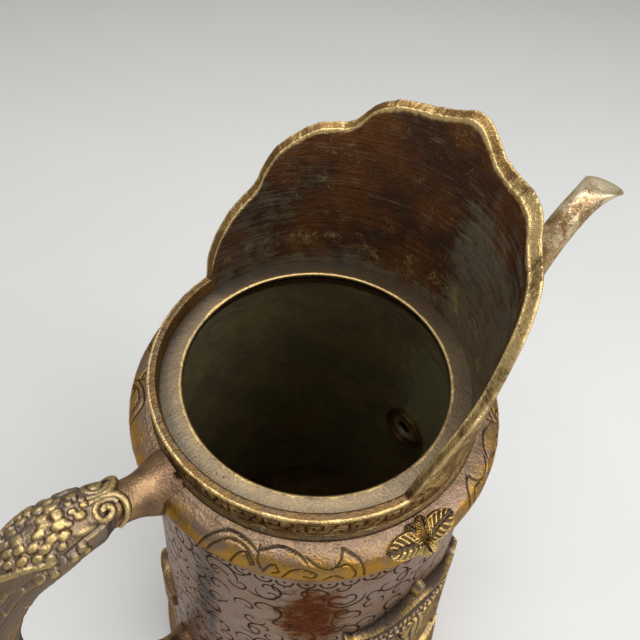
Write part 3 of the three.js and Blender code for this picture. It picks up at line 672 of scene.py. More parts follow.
for v in ring.verts:
    turn, row = -abs(degrees(atan2(v.co.y, v.co.x))), int(round(v[row_layer]))
    if 1 <= row <= len(ROLL):
        up = climb[row - 1]
        v[paint.line] = 0.85 * ring_lines.depth(turn * per_degree, up)
        sag = 0.3 * v[paint.line] + 0.12 * noise.noise(v.co * 0.35)
        v.co -= Vector((v.co.x, v.co.y, 0)).normalized() * sag * (0.4 + 0.6 * (up < 18))
        v.co.z -= 0.6 * sag * smooth(up, 12, 20)
        golden = 0.95 + 0.7 * noise.noise(v.co * 0.06) + 0.9 * noise.noise(v.co * 0.22)
        golden *= smooth(up, 2, 5) * (1 - smooth(up, 14, 23))
        v[paint.wear] = golden + 0.6 * (up < 1.2)
        v[paint.grime] = 0.5 * smooth(up, 18, 23.5)
make_piece("shoulder", ring, worn_brass, "worn_brass", "shoulder_ring")

# %% [markdown]
# The collar carries the lip and the tall lobed crest. A flat sheet cut to the outline and then
# bent would tear its edge into steps. So an upright strip is spun round, and each column of it
# is stretched to the outline's height, which keeps the edge one clean line. The outline is a
# curve in degrees from the spout and millimetres over the plate, and it differs a little between
# the two sides, as castings do.

# %% The crest's outline
SEAT = 240
CREST, LIP = 75.4, 5.7
FLANK = [(100.6, LIP), (98.4, 14), (94.2, 21.5), (88.2, 28.6), (83.1, 32.7), (76.4, 38.3),
         (73.3, 44), (68.9, 50), (64.7, 53), (60.6, 55.6), (56, 57.8)]
LEFT = FLANK + [
    (52.7, 58.8), (48.7, 59.3), (44.7, 59.5), (40.8, 61), (37.2, 64.6), (33.7, 67.6), (30, 69.2),
    (26.1, 70.2), (22.2, 70.6), (18.3, 71), (14.3, 71.6), (10.3, 72.4), (6.3, 73.7), (3, 75),
    (0, CREST)]
RIGHT = FLANK + [
    (50, 59.1), (46, 59.4), (41, 61.2), (37.4, 64.6), (33.5, 66.7), (27.6, 67.3), (19.9, 66.9),
    (13.9, 67.9), (9.7, 70.2), (6.4, 73), (2.4, 75.1), (0, CREST)]
crest_lines = [sorted((p.x, p.y) for p in through(side, 6)) for side in (RIGHT, LEFT)]


def crest_height(turn):
    """Height of the collar's edge over the seat plate, this many degrees from the spout."""
    crest_line = crest_lines[turn > 0]
    turn = abs(turn)
    if turn >= crest_line[-1][0]:
        return LIP
    i = min(len(crest_line) - 1, max(1, bisect_right(crest_line, (turn, 1e9))))
    (a, low), (b, high) = crest_line[i - 1], crest_line[i]
    return low if b - a < 1e-6 else low + (high - low) * (turn - a) / (b - a)


def grown(turn):
    """From 0 where the collar is a plain lip to 1 where it stands up as the crest."""
    return smooth(crest_height(turn) - LIP, 0, 8)


print("crest heights by degrees:", [(t, round(crest_height(t), 1)) for t in (0, 30, 60, 90, 120)])

# %% [markdown]
# Seen from above, the crest's cast edge is what catches the light. It is about 3 mm thick, its
# corners are round, its top slopes down towards the mouth, and it wavers a little. A bevel
# would round it evenly, so its section is written out row by row instead: foot, neck band, back,
# corner, top, rim, inner face and the ledge that the plate lies on.

# %% The collar's section
NECK_ROWS, BACK_ROWS, EDGE_ROWS, FACE_ROWS = 22, 30, 12, 53
COLLAR_FOOT = ((56.2, -5.7), (56.2, -4.9), (55.95, -4.5), (55.3, -4.2))
COLLAR_LEDGE = ((49.7, -2.8), (49.7, -5.7))
NECK, RIM = 55.3, 53
ROUND, RIM_ROUND = 0.6, 0.7


def edge_slant(turn):
    """How far the edge's top slopes down towards the mouth: less on the left side."""
    return (2.5 - 1.5 * smooth(turn, -35, 25)) * grown(turn)


def collar_point(row, turn):
    """Radius, height and part of a row of the collar at a turn."""
    tall = grown(turn)
    rough = (noise.noise(Vector((turn * 0.35, 3.1, 0)))
             + 0.6 * noise.noise(Vector((turn * 1.1, 7.7, 0))))
    rise = min(CREST, crest_height(turn) + 0.22 * rough * (0.4 + tall))
    edge = NECK + 0.4 * tall
    low = rise - edge_slant(turn)
    if row < len(COLLAR_FOOT):
        return COLLAR_FOOT[row] + ("foot",)
    row -= len(COLLAR_FOOT)
    if row <= NECK_ROWS:
        return NECK, -3.9 + 8.5 * row / NECK_ROWS, "neck"
    row -= NECK_ROWS
    if row <= BACK_ROWS:
        z = 4.6 + (rise - ROUND - 4.6) * row / BACK_ROWS
        return edge - 0.4 * tall * smooth(rise - z, 4.6, 5.6), z, "back"
    row -= BACK_ROWS
    if row <= 4:
        angle = pi / 8 * row
        return edge - ROUND + ROUND * cos(angle), rise - ROUND + ROUND * sin(angle), "corner"
    if row <= 8:
        share = (row - 4) / 4
        wavy = 0.1 * noise.noise(Vector((turn * 2, row, 5))) * (row < 8)
        radius = edge - ROUND + (RIM - edge + ROUND) * share
        return radius, rise + (low - rise) * share + wavy, "top"
    if row <= EDGE_ROWS:
        angle = pi / 8 * (row - 8)
        return RIM - RIM_ROUND * sin(angle), low - RIM_ROUND + RIM_ROUND * cos(angle), "rim"
    row -= EDGE_ROWS
    if row <= FACE_ROWS:
        z = low - RIM_ROUND + (-2.8 - low + RIM_ROUND) * row / FACE_ROWS
        return RIM - RIM_ROUND, z, "face"
    return COLLAR_LEDGE[row - FACE_ROWS - 1] + ("ledge",)


ROWS = len(COLLAR_FOOT) + NECK_ROWS + 1 + BACK_ROWS + EDGE_ROWS + FACE_ROWS + len(COLLAR_LEDGE)
start = [collar_point(i, 180)[:2] for i in range(ROWS)]
print("the collar will have", 2 * ROWS * RING_STEPS, "triangles, under the limit of 200000")

# %% [markdown]
# Now the strip is spun, stretched and painted. The key pattern is chased on the band under the
# lip, from straight strokes that don't quite repeat. The crest's back is cast in soft lumps,
# its edge is rubbed bright, the top of its right flank gets a painted highlight as well, and its
# inner face gets the red finish, with a cool film low down and on both flanks.

# %% Crest and collar
KEYS = 30
KEY = [
    [(0.8, -1.6), (0.6, 3.2), (5.4, 3.2), (5.2, 0), (2.8, 0), (2.8, 1.6)],
    [(7.2, -1.8), (8, 1)], [(9.2, 3.4), (8.6, 0.8), (10.2, 0.8)], [(10.4, -1.8), (10.6, -0.4)],
]
per_key = 2 * pi * NECK / KEYS
band = Drawing([[(x + per_key * k + 0.5 * (k * 7 % 3 - 1), y) for x, y in stroke]
                for k in range(-16, 16) for stroke in KEY], 0.5, bent=False)


def band_cut(along, height):
    """The key pattern, and the two thin lines that close the band below."""
    lines = (1 - smooth(abs(height - at), 0.1, 0.4) for at in (-3, -3.9))
    return max(band.depth(along, height), *lines)


def back_lumps(radius, turn, height, gap, tall):
    """Soft lumps on the crest's back, and how much of the back they cover below the edge."""
    cover = tall * smooth(gap, 5, 7)
    lumps = noise.noise(Vector((radius * turn * 0.28, height * 0.28, 9)))
    return (1 - abs(2.2 * lumps)) * cover, cover


def cool_film(height, right, tall):
    """Cool film on the inner face: on the right flank, on the left one and low down."""
    flank = smooth(right, 0, 14) * (1 - smooth(right, 54, 70)) * (1 - smooth(height, 38, 66))
    foot = 0.8 * (1 - smooth(height, 0, 12)) * tall
    return 0.9 * max(flank, 0.6 * smooth(-right, 50, 80), foot)


collar, row_layer = turned_ring([(r, SEAT + z) for r, z in start], RING_STEPS)
paint = paints(collar)
for v in collar.verts:
    turn = atan2(v.co.y, v.co.x)
    right = -degrees(turn)
    radius, height, part = collar_point(int(round(v[row_layer])), -right)
    gap = crest_height(-right) - height
    tall = grown(-right)
    if part == "neck":
        cut = band_cut(turn * NECK, height)
        radius -= 0.3 * cut
        v[paint.line] = 0.75 * cut
        v[paint.wear] = 0.45 * (1 - cut)
        v[paint.grime] = 0.7 * (1 - smooth(height, -4.2, -3.4))
    elif part == "back":
        lumps, cover = back_lumps(radius, turn, height, gap, tall)
        radius -= 0.5 * (0.6 - lumps) * cover
        v[paint.wear] = max(0.5 * (1 - smooth(gap, 4, 5.4)), 0.55 * lumps)
        v[paint.grime] = cover * (0.6 - 0.6 * lumps)
    elif part == "corner":
        v[paint.wear] = 0.8
    elif part == "top":
        # The top is rubbed, and on the right flank it also gets a painted highlight
        v[paint.wear] = (0.25 + 0.5 * smooth(right, 12, 34)) * tall
        v[paint.grime] = 0.25 + 0.3 * (1 - tall)
    elif part == "rim":
        v[paint.wear] = 0.9 * tall
        v[paint.grime] = 0.4 * (1 - tall)
    elif part == "face":
        below = gap - edge_slant(-right) - RIM_ROUND
        rubbed = 0.6 * (1 - smooth(below, 0, 0.5)) + 0.3 * (1 - smooth(abs(height - 12), 2, 9))
        v[paint.inside] = smooth(below, -0.2, 0.8) * (0.1 + 0.9 * tall)
        v[paint.wear] = rubbed * tall
        v[paint.line] = 0.4 * smooth(-right, 48, 88) * tall
        v[paint.cool] = cool_film(height, right, tall)
    else:
        v[paint.grime] = 0.6
    v.co = Vector((radius * cos(turn), radius * sin(turn), SEAT + height))
make_piece("collar", collar, dark_brass, "dark_brass", "crest_collar", sharp=60)

# %% [markdown]
# The seat plate is a flat ring let into the collar. A flat disc with a bevelled hole would do
# for its shape, but a turned outline gives it the shallow slope at the hole that a turner leaves
# there. Years of use have rubbed the rim of the hole bright. The groove where the plate meets the
# crest is painted dark as shade on the handle's side, a painted shadow of the crest's right flank
# lies on the plate, and the hole's wall under its rim is painted dark.

# %% Seat plate
PLATE = [
    (45.6, 237.5), (52.25, 237.5), (52.25, SEAT), (50.4, SEAT), (49, SEAT), (47.6, SEAT),
    (46.4, SEAT), (45.7, 239.97), (45.3, 239.85), (45.08, 239.62), (45, 239.3), (45, 238.1),
    (45.2, 237.7)]
plate = turned_ring(PLATE, 360)[0]
paint = paints(plate)
for v in plate.verts:
    radius = hypot(v.co.x, v.co.y)
    # The line value carries the darkening here: the hole's wall under its rim, a painted shadow of
    # the crest's right flank, and painted shade in the groove on the handle's side
    hole_wall = 0.85 * (1 - smooth(v.co.z, 239, 239.4)) * (radius < 46)
    crest_shadow = 0.32 * (1 - smooth(abs(degrees(atan2(v.co.y, v.co.x)) + 68), 10, 40))
    groove_shade = 0.4 * smooth(radius, 47.8, 50.8) * smooth(-v.co.x, -5, 30)
    v[paint.line] = max(hole_wall, crest_shadow, groove_shade)
    v[paint.wear] = 1.1 * smooth(v.co.z, 239.1, 239.5) * (1 - smooth(radius, 45.5, 46))
    v[paint.grime] = 0.2 + (0.3 + 0.003 * v.co.y) * smooth(radius, 46, 51)
make_piece("seat", plate, grey_brass, "grey_brass", "seat_plate", sharp=50)

# %% [markdown]
# Spout and handle are bent tubes. Blender can give a curve a round bevel, but such a tube can't
# be sculpted. So a ring of corners is made once and pushed out along the path, one station at a
# time, and each new ring is put square to the path. Each corner remembers its angle and how far
# along it lies, so the shape can be sculpted by angle and distance.

# %% Tubes along a path
SIDEWAYS = Vector((0, -1, 0))


def measured_path(*curves):
    """Join cubic curves of (x, z) points; give the point and direction at a distance."""
    points = []
    for curve in curves:
        part = interpolate_bezier(*[Vector((x, 0, z)) for x, z in curve], 160)
        points += part[1 if points else 0:]
    marks = [0.0]
    for a, b in zip(points, points[1:]):
        marks.append(marks[-1] + (b - a).length)

    def place(distance):
        i = min(len(points) - 1, max(1, bisect_right(marks, distance)))
        along = (points[i] - points[i - 1]).normalized()
        return points[i - 1] + along * (distance - marks[i - 1]), along
    return place, marks[-1]


def push_out(bm, edges):
    """Extrude a ring of edges once, and give back the new ring's corners and edges."""
    made = bmesh.ops.extrude_edge_only(bm, edges=edges)["geom"]
    return ([g for g in made if isinstance(g, bmesh.types.BMVert)],
            [g for g in made if isinstance(g, bmesh.types.BMEdge)])


def sweep(stations, sides, relief=None):
    """Push a ring through stations: (middle, lean, half along lean, half across, distance)."""
    bm = bmesh.new()
    paints(bm)
    angle = bm.verts.layers.float.new("angle")
    along = bm.verts.layers.float.new("along")
    ring = bmesh.ops.create_circle(bm, segments=sides, radius=1, cap_ends=False)["verts"]
    for v in ring:
        v[angle] = atan2(v.co.y, v.co.x)
    first = edges = list(bm.edges)
    for i, (middle, lean, half, wide, distance) in enumerate(stations):
        if i:
            ring, edges = push_out(bm, edges)
        for v in ring:
            lift = relief(distance, v[angle]) if relief else 0
            v[along] = distance
            v.co = (middle + lean * (half + lift) * cos(v[angle])
                    + SIDEWAYS * (wide + lift) * sin(v[angle]))
    return bm, first, edges


def tube_stations(place, first, last, steps, sizes):
    """Stations along a path; sizes gives half along the lean and half across at a share."""
    made = []
    for i in range(steps + 1):
        distance = first + (last - first) * i / steps
        middle, way = place(distance)
        half, wide = sizes(i / steps)
        made.append((middle, Vector((way.z, 0, -way.x)), half, wide, distance))
    return made


quarter = measured_path(((10, 0), (10, 5.52), (5.52, 10), (0, 10)))[1]
print("a quarter round of radius 10 mm measures", round(quarter, 2), "mm")

# %% [markdown]
# The spout is one plain tube, bent and tapered, with a lip that flares and is cut on a slant. It
# could be a solid with a bore cut out, but a cut leaves ragged faces in a bend. So its outside
# and its bore are one sweep: out along the tube, then back again, one wall further in. The
# socket that holds it is the measured one.

# %% Spout
SPOUT_END = (150, 240.5)
SPOUT_WALL = 1.6
THICK_END, THIN_END = 12, 6.7
LIP_MIDDLE, LIP_HALF, LIP_WIDE, LIP_SLANT = (167.5, 0, 245), 10.9, 9, radians(18)
LIP_STEPS = 24
spout_place, spout_length = measured_path(
    ((62, 133), (100, 133), (112, 180), (128, 213)),
    ((128, 213), (132, 221.5), (139.7, 233.5), SPOUT_END))


def spout_stations(allowance):
    """Stations of the round tube and of the flared, slanted lip."""
    def sizes(t):
        radius = THICK_END + (THIN_END - THICK_END) * smooth(t, 0.1, 0.95) + allowance
        return radius, radius
    made = tube_stations(spout_place, 0, spout_length, 70, sizes)
    way = spout_place(spout_length - 0.001)[1]
    end = Vector((SPOUT_END[0], 0, SPOUT_END[1]))
    lean = Vector((way.z, 0, -way.x))
    slant = Vector((cos(LIP_SLANT), 0, -sin(LIP_SLANT)))
    lip = Vector(LIP_MIDDLE)
    radius, half = THIN_END + allowance, LIP_HALF + allowance
    upper = [end - lean * radius, end - lean * radius + way * 6, lip - slant * half]
    lower = [end + lean * radius, end + lean * radius + way * 11, lip + slant * half]
    for i in range(1, LIP_STEPS + 1):
        t = i / LIP_STEPS
        a, b = ((1 - t) ** 2 * p[0] + 2 * t * (1 - t) * p[1] + t * t * p[2]
                for p in (upper, lower))
        across = b - a
        wide = radius + (LIP_WIDE + allowance - radius) * t * t
        made.append(((a + b) / 2, across.normalized(), across.length / 2, wide,
                     spout_length + 12 * t))
    return made


outside = spout_stations(0)
bore = list(reversed(spout_stations(-SPOUT_WALL)))
spout, first, last = sweep(outside + bore, 48)
bmesh.ops.bridge_loops(spout, edges=first + last)
paint = paints(spout)
along = spout.verts.layers.float.get("along")
# The wear pales the tube a little all along and more towards the lip: partly wiping, partly a
# painted highlight
for v in spout.verts:
    v[paint.wear] = (0.15 + 0.3 * smooth(v[along], spout_length - 40, spout_length)
                     + 0.45 * smooth(v[along], spout_length, spout_length + 11))
make_piece("spout", spout, spout_brass, "worn_brass", "spout_tube", sharp=50)
make_piece("spout_socket", copy_node("spout_root"), brown_brass, "engraved_brown_brass",
           "spout_root")
print("spout is", round(spout_length, 1), "mm along its middle")

# %% [markdown]
# Inside the body a lumpy bead of solder closes the joint round the port, and in the photograph
# only a small dark pit is left of the port. A new bead could be spun, but the measured one fits
# the port, so a copy of it is narrowed: its hole is drawn in, its border is laid flush into the
# round wall, and noise makes it lumpy.

# %% Solder round the port
HOLE = 0.34
bead_box = [Vector(corner) * 1000 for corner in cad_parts["port_bead"].bound_box]
bead_low, bead_high = min(c.z for c in bead_box), max(c.z for c in bead_box)
bead_middle, bead_half = (bead_low + bead_high) / 2, (bead_high - bead_low) / 2
bead = copy_node("port_bead")
for v in bead.verts:
    if hypot(v.co.y, v.co.z - bead_middle) < bead_half - 2.6:
        v.co.y *= HOLE
        v.co.z = bead_middle + HOLE * (v.co.z - bead_middle)
bmesh.ops.subdivide_edges(bead, edges=bead.edges, cuts=3, use_grid_fill=True)
paint = paints(bead)
for v in bead.verts:
    wall = sqrt((body_radius(v.co.z) - SHEET) ** 2 - v.co.y ** 2)
    away = hypot(v.co.y, v.co.z - bead_middle) / bead_half
    v.co.x += max(0, wall - v.co.x) * 0.96 * smooth(away, 0.4, 0.75)
    v.co.x += 0.15 * noise.noise(v.co * 0.4)
    v[paint.inside] = 1
make_piece("port_solder", bead, chased_body, "solder", "port_bead")
print("the bead is", round(2 * bead_half, 1), "mm high")

# %% [markdown]
# Head and grip of the handle are sculpted castings. Where to paint wear and grime could be
# decided lump by lump, but the mesh knows it already: a corner that stands above its neighbours
# gets rubbed and a painted highlight, and one that lies below them keeps the dirt and painted
# shade. The bend at each corner is measured, evened out a little and painted.

# %% Wear from the shape
SMOOTHINGS = 2


def wear_and_shading(bm, strength):
    """Paint wear and a highlight where it stands out, grime and shade where it lies back."""
    paint = paints(bm)
    bm.normal_update()
    bend = {}
    for v in bm.verts:
        near = [e.other_vert(v).co for e in v.link_edges]
        middle = sum(near, Vector()) / len(near)
        reach = sum((v.co - n).length for n in near) / len(near)
        bend[v] = 2 * (v.co - middle).dot(v.normal) / max(reach * reach, 1e-6)
    for _ in range(SMOOTHINGS):
        bend = {v: 0.5 * bend[v] + 0.5 * sum(bend[e.other_vert(v)] for e in v.link_edges)
                / max(1, len(v.link_edges)) for v in bm.verts}
    for v in bm.verts:
        v[paint.wear] = max(v[paint.wear], min(1, strength * max(0, bend[v])))
        v[paint.grime] = max(v[paint.grime], min(1, strength * max(0, -bend[v])))


print("bends are evened out", SMOOTHINGS, "times")

# %% [markdown]
# The handle is cast in four parts: a bracket at each end, a beast's head and a grip. One path
# runs through all of them, so that they line up. The two brackets are plain, so the measured
# ones do, drawn out by 0.6 mm where they meet the sculpted parts, because two ends
# that only touch would show a gap.

# %% Handle's path and brackets
REACH = 0.6
handle_place, handle_length = measured_path(
    ((-57.3, 227), (-67.3, 230), (-79, 236.5), (-89, 236.5)),
    ((-89, 236.5), (-111, 236.5), (-126.5, 206), (-126.5, 168)),
    ((-126.5, 168), (-126.5, 123), (-97.8, 70), (-73.8, 62)))
marks = [handle_length * i / 2000 for i in range(2001)]
muzzle = next(d for d in marks if handle_place(d)[0].x < -77.3)
nape = next(d for d in marks if handle_place(d)[0].x < -107.3)
tail = next(d for d in marks if handle_place(d)[0].z < 72)
print("muzzle", round(muzzle, 1), "nape", round(nape, 1), "tail", round(tail, 1))

for title, node_name, end_x in (("upper_bracket", "handle_bracket_top", -65.3),
                                ("lower_bracket", "handle_bracket_low", -77.6)):
    bracket = copy_node(node_name)
    for v in bracket.verts:
        v.co.x += REACH * (v.co.x > end_x)
    make_piece(title, bracket, brown_brass, "brown_brass", node_name)

# %% [markdown]
# The beast's head is covered in round scales, with a heavy brow, an eye and the line of the jaw.
# It could be sculpted with brushes, but brush strokes can't be written down. So the lumps are
# heights over a swept tube. Each is given by how many millimetres it lies behind the muzzle and
# how many degrees round from the top, so they can be moved one by one.

# %% Beast's head
MUZZLE_HALF, HEAD_HALF, SKIN = 7.9, 10.4, 0.7
NAPE_HALF, NAPE_WIDE = 8.7, 9.1
DEGREE = 0.175
# Scales: millimetres behind the muzzle, degrees round from the top, radius
SCALES = [
    (7.2, 19.7, 1.4), (9.8, 24, 0.9), (8.3, 8.4, 1.0), (11.3, 36.6, 1.4), (11.2, 17, 1.7),
    (13.5, 29.8, 1.3), (13.4, 5.6, 1.3), (15.3, 36.5, 1.3), (15, 14, 1.3), (16.8, 24.5, 1.3),
    (17.3, 42.4, 1.2), (15.6, 54.3, 1.3), (12.6, 48.8, 1.1), (18.9, 15, 1.2), (18.6, 2.8, 1.3),
    (10.8, 3, 1.2), (5.6, 5, 1.1), (20.9, 7, 1.2), (19.6, 31, 1.2), (22, 21, 1.1), (23.6, 10, 1.1),
    (9.4, 72, 1.4), (11.8, 80, 1.3), (8.6, 84, 1.2), (20.3, 71, 1.6), (14.2, 70, 1.2),
    (17.4, 82, 1.3),
]
BROW = [(15, 66), (17.5, 56), (20, 45), (24, 31), (27.5, 16)]
JAW = [(3, 54), (5.5, 58), (8.5, 61), (12, 66), (17, 70), (24, 66)]


def head_sizes(s):
    """Half sizes of the head, from the muzzle at 0 to the nape at 1, where the grip starts."""
    dome = sin(pi * min(1, 0.12 + 0.72 * s))
    radius = MUZZLE_HALF + (HEAD_HALF - MUZZLE_HALF) * max(0, dome) ** 1.5 - SKIN
    radius -= 1.2 * (1 - smooth(s, 0, 0.1))
    back = smooth(s, 0.72, 1)
    return radius + (NAPE_HALF - radius) * back, radius + (NAPE_WIDE - radius) * back


def locks_of_hair(back, turn):
    """A wave across the head or the grip, whose crests are locks that run along it."""
    return sin(radians(turn) * 17 + 0.16 * back + 0.8 * sin(back * 0.3))


def to_curve(back, turn, curve):
    """Distance in millimetres from a curve drawn on the head."""
    return min(to_segment(back, turn * DEGREE, (a[0], a[1] * DEGREE), (b[0], b[1] * DEGREE))
               for a, b in zip(curve, curve[1:]))


def head_relief(distance, angle):
    """Height of the sculpted head at a distance along it and an angle round it."""
    back, turn = distance - muzzle, abs(degrees(angle))
    lift = 0.0
    for at, around, size in SCALES:
        d = hypot(back - at, (turn - around) * DEGREE) / size
        if d < 1.05:
            lift = max(lift, 0.95 * sqrt(max(0, 1 - (d / 1.05) ** 4)))
    eye = hypot((back - 7.2 + 0.08 * (turn - 47)) / 2.9, (turn - 47) * DEGREE / 1.4)
    lift = max(lift, 0.9 * sqrt(max(0, 1 - eye * eye)))
    lift -= 0.35 * (1 - smooth(abs(eye - 1.25), 0, 0.35))
    lift = max(lift, 1.1 * sqrt(max(0, 1 - (to_curve(back, turn, BROW) / 1.1) ** 2)))
    lift -= 0.7 * (1 - smooth(to_curve(back, turn, JAW), 0.2, 1.1))
    under = smooth(turn, 74, 92) * smooth(back, 9, 14) + smooth(back, 24, 28)
    lift += 0.45 * min(1, under) * locks_of_hair(back, turn)
    return lift + 0.12 * noise.noise(Vector((back, turn * 0.17, 2)) * 1.2)


stations = tube_stations(handle_place, muzzle, nape - 0.3, 170, head_sizes)
head, first, last = sweep(stations, 160, head_relief)
for loop in (first, last):
    bmesh.ops.edgeloop_fill(head, edges=loop)
# The wear is read from the normals, so they have to point outwards before that
bmesh.ops.recalc_face_normals(head, faces=head.faces)
# Wear and grime from the curving: partly real, partly painted highlight and shade
wear_and_shading(head, strength=0.3)
paint = paints(head)
angle, along = (head.verts.layers.float.get(name) for name in ("angle", "along"))
for v in head.verts:
    high = smooth(head_relief(v[along], v[angle]), 0.5, 0.95)
    v[paint.wear] = max(v[paint.wear], high * (0.7 + 0.6 * noise.noise(v.co * 0.4)))
make_piece("beast", head, beast_brass, "worn_brass", "beast_head", sharp=70)

# %% [markdown]
# On each side of the muzzle sits a curl: a strand that winds in, and an outer strand round it.
# As relief on the head they would be too soft, because they nearly stand free. So each strand is
# a thin flattened tube, pushed along a curve that lies on the muzzle, and the other side's curl
# is its mirror image.

# %% Curls of the muzzle
FLATNESS = 0.7
STRAND_SIDES = 14


def on_muzzle(back, around, lift):
    """A point on the head: millimetres behind the muzzle, millimetres round, and height above."""
    middle, way = handle_place(muzzle + back)
    radius = 7.4 + 0.8 * smooth(back, 0, 6) + lift
    turn = around / MUZZLE_HALF
    lean = Vector((way.z, 0, -way.x))
    return middle + lean * radius * cos(turn) + SIDEWAYS * radius * sin(turn)


def strand(bm, curve, sizes):
    """Push a flattened ring along a curve of points on the muzzle."""
    paint = paints(bm)
    ring = bmesh.ops.create_circle(bm, segments=STRAND_SIDES, radius=1, cap_ends=False)["verts"]
    turns = [atan2(v.co.y, v.co.x) for v in ring]
    edges = [e for e in bm.edges if e.is_wire and e.verts[0] in ring]
    first = edges
    for i, (back, around) in enumerate(curve):
        if i:
            ring, edges = push_out(bm, edges)
        here, above = on_muzzle(back, around, 0), on_muzzle(back, around, 1)
        nearby = curve[i + 1] if i + 1 < len(curve) else curve[i - 1]
        way = (on_muzzle(*nearby, 0) - here).normalized() * (1 if i + 1 < len(curve) else -1)
        out = (above - here).normalized()
        side = way.cross(out)
        size = sizes(i / (len(curve) - 1))
        for v, turn in zip(ring, turns):
            v.co = here + side * size * cos(turn) + out * (0.25 + FLATNESS * size * sin(turn))
            v[paint.wear] = 0.8 * max(0, sin(turn))
            v[paint.grime] = max(0, 0.4 - sin(turn))
    for loop in (first, edges):
        bmesh.ops.edgeloop_fill(bm, edges=loop)


curls = bmesh.new()
paints(curls)
wound = []
for i in range(91):
    share = i / 90
    turn, reach = radians(200 + 500 * share), 3.5 - 2.9 * share
    wound.append((1.6 + reach * cos(turn), 4.6 + reach * sin(turn)))
strand(curls, wound, lambda t: 1.0 + 0.35 * t * t)
outer = through(
    [(5, 0.9), (2, 0.5), (-1.2, 0.8), (-3.3, 3), (-3.8, 6.2), (-3, 9.2), (-1, 11.6)], 8)
strand(curls, [(p.x, p.y) for p in outer], lambda t: 0.5 + 0.75 * sin(pi * (0.08 + 0.84 * t)))
one_side = curls.verts[:] + curls.edges[:] + curls.faces[:]
other = bmesh.ops.duplicate(curls, geom=one_side)["geom"]
bmesh.ops.scale(curls, vec=(1, -1, 1),
                verts=[g for g in other if isinstance(g, bmesh.types.BMVert)])
make_piece("curls", curls, beast_brass, "worn_brass")

# %% [markdown]
# Behind the head the mane runs down the grip in long locks, which fade towards the tail where
# the hand has worn them. Separate locks of hair would be far too many faces for what the hand
# left, so the locks are one wave round the grip, with a little noise, that loses height on its
# way down.

# %% Grip
GRIP_NAPE, GRIP_NAPE_WIDE, GRIP_TAIL, GRIP_TAIL_WIDE = 8.2, 8.9, 6.3, 6.4


def grip_sizes(s):
    """Half sizes of the grip, from the nape at 0 to the tail at 1."""
    t = smooth(s, 0, 0.8)
    return (GRIP_NAPE + (GRIP_TAIL - GRIP_NAPE) * t,
            GRIP_NAPE_WIDE + (GRIP_TAIL_WIDE - GRIP_NAPE_WIDE) * t)


def mane_relief(distance, angle):
    """Locks of the mane that run along the grip."""
    back, turn = distance - muzzle, abs(degrees(angle))
    fading = 1 - 0.75 * smooth(distance, nape, tail)
    return (0.45 * fading * locks_of_hair(back, turn)
            + 0.15 * noise.noise(Vector((back, turn * 0.17, 2)) * 0.8))


stations = tube_stations(handle_place, nape, tail, 170, grip_sizes)
grip, first, last = sweep(stations, 144, mane_relief)
for loop in (first, last):
    bmesh.ops.edgeloop_fill(grip, edges=loop)
bmesh.ops.recalc_face_normals(grip, faces=grip.faces)
# Wear and grime from the curving: partly real, partly painted highlight and shade
wear_and_shading(grip, strength=0.8)
make_piece("grip", grip, beast_brass, "brown_brass", "handle_grip", sharp=60)

# %% [markdown]
# The leaf spray is a small casting soldered on to the shoulder. A leaf could be modelled flat and
# wrapped on with a modifier, but a wrap thins what it bends. So each leaf is a grid that is laid
# on the roll: the nearest place on the roll is looked up, and the leaf's own height is added
# square to the roll there. Ribs, border and the middle groove are part of that height.

# %% Leaf sprays
LEAF_LONG, LEAF_WIDE = 11.5, 7.4
# Each leaf: share of the full size, direction in degrees, and where its stalk starts
LEAVES = ((1, 172, -0.8, 0), (1, 12, 0.4, 0.4), (0.9, -72, -0.6, -0.4),
          (0.55, 118, -0.6, 0.2), (0.55, 80, 0.4, 0.2))
lay = (Matrix.Rotation(radians(90 + SPRAY), 4, "Z")
       @ Matrix.Translation((0, 2.4 - ROLL_OUT, 231.4)) @ Matrix.Rotation(radians(36), 4, "X"))


def on_roll(point, height):
    """Move a point to this height above the shoulder's roll, without turning round the ewer."""
    radius, turn = hypot(point.x, point.y), atan2(point.y, point.x)
    k = min(range(len(ROLL)),
            key=lambda i: (ROLL[i][0] - radius) ** 2 + (ROLL[i][1] - point.z) ** 2)
    a, b = ROLL[max(0, k - 1)], ROLL[min(len(ROLL) - 1, k + 1)]
    run = Vector((b[0] - a[0], b[1] - a[1])).normalized()
    slide = (radius - ROLL[k][0]) * run.x + (point.z - ROLL[k][1]) * run.y
    out = ROLL[k][0] + run.x * slide + run.y * height
    return Vector((out * cos(turn), out * sin(turn), ROLL[k][1] + run.y * slide - run.x * height))


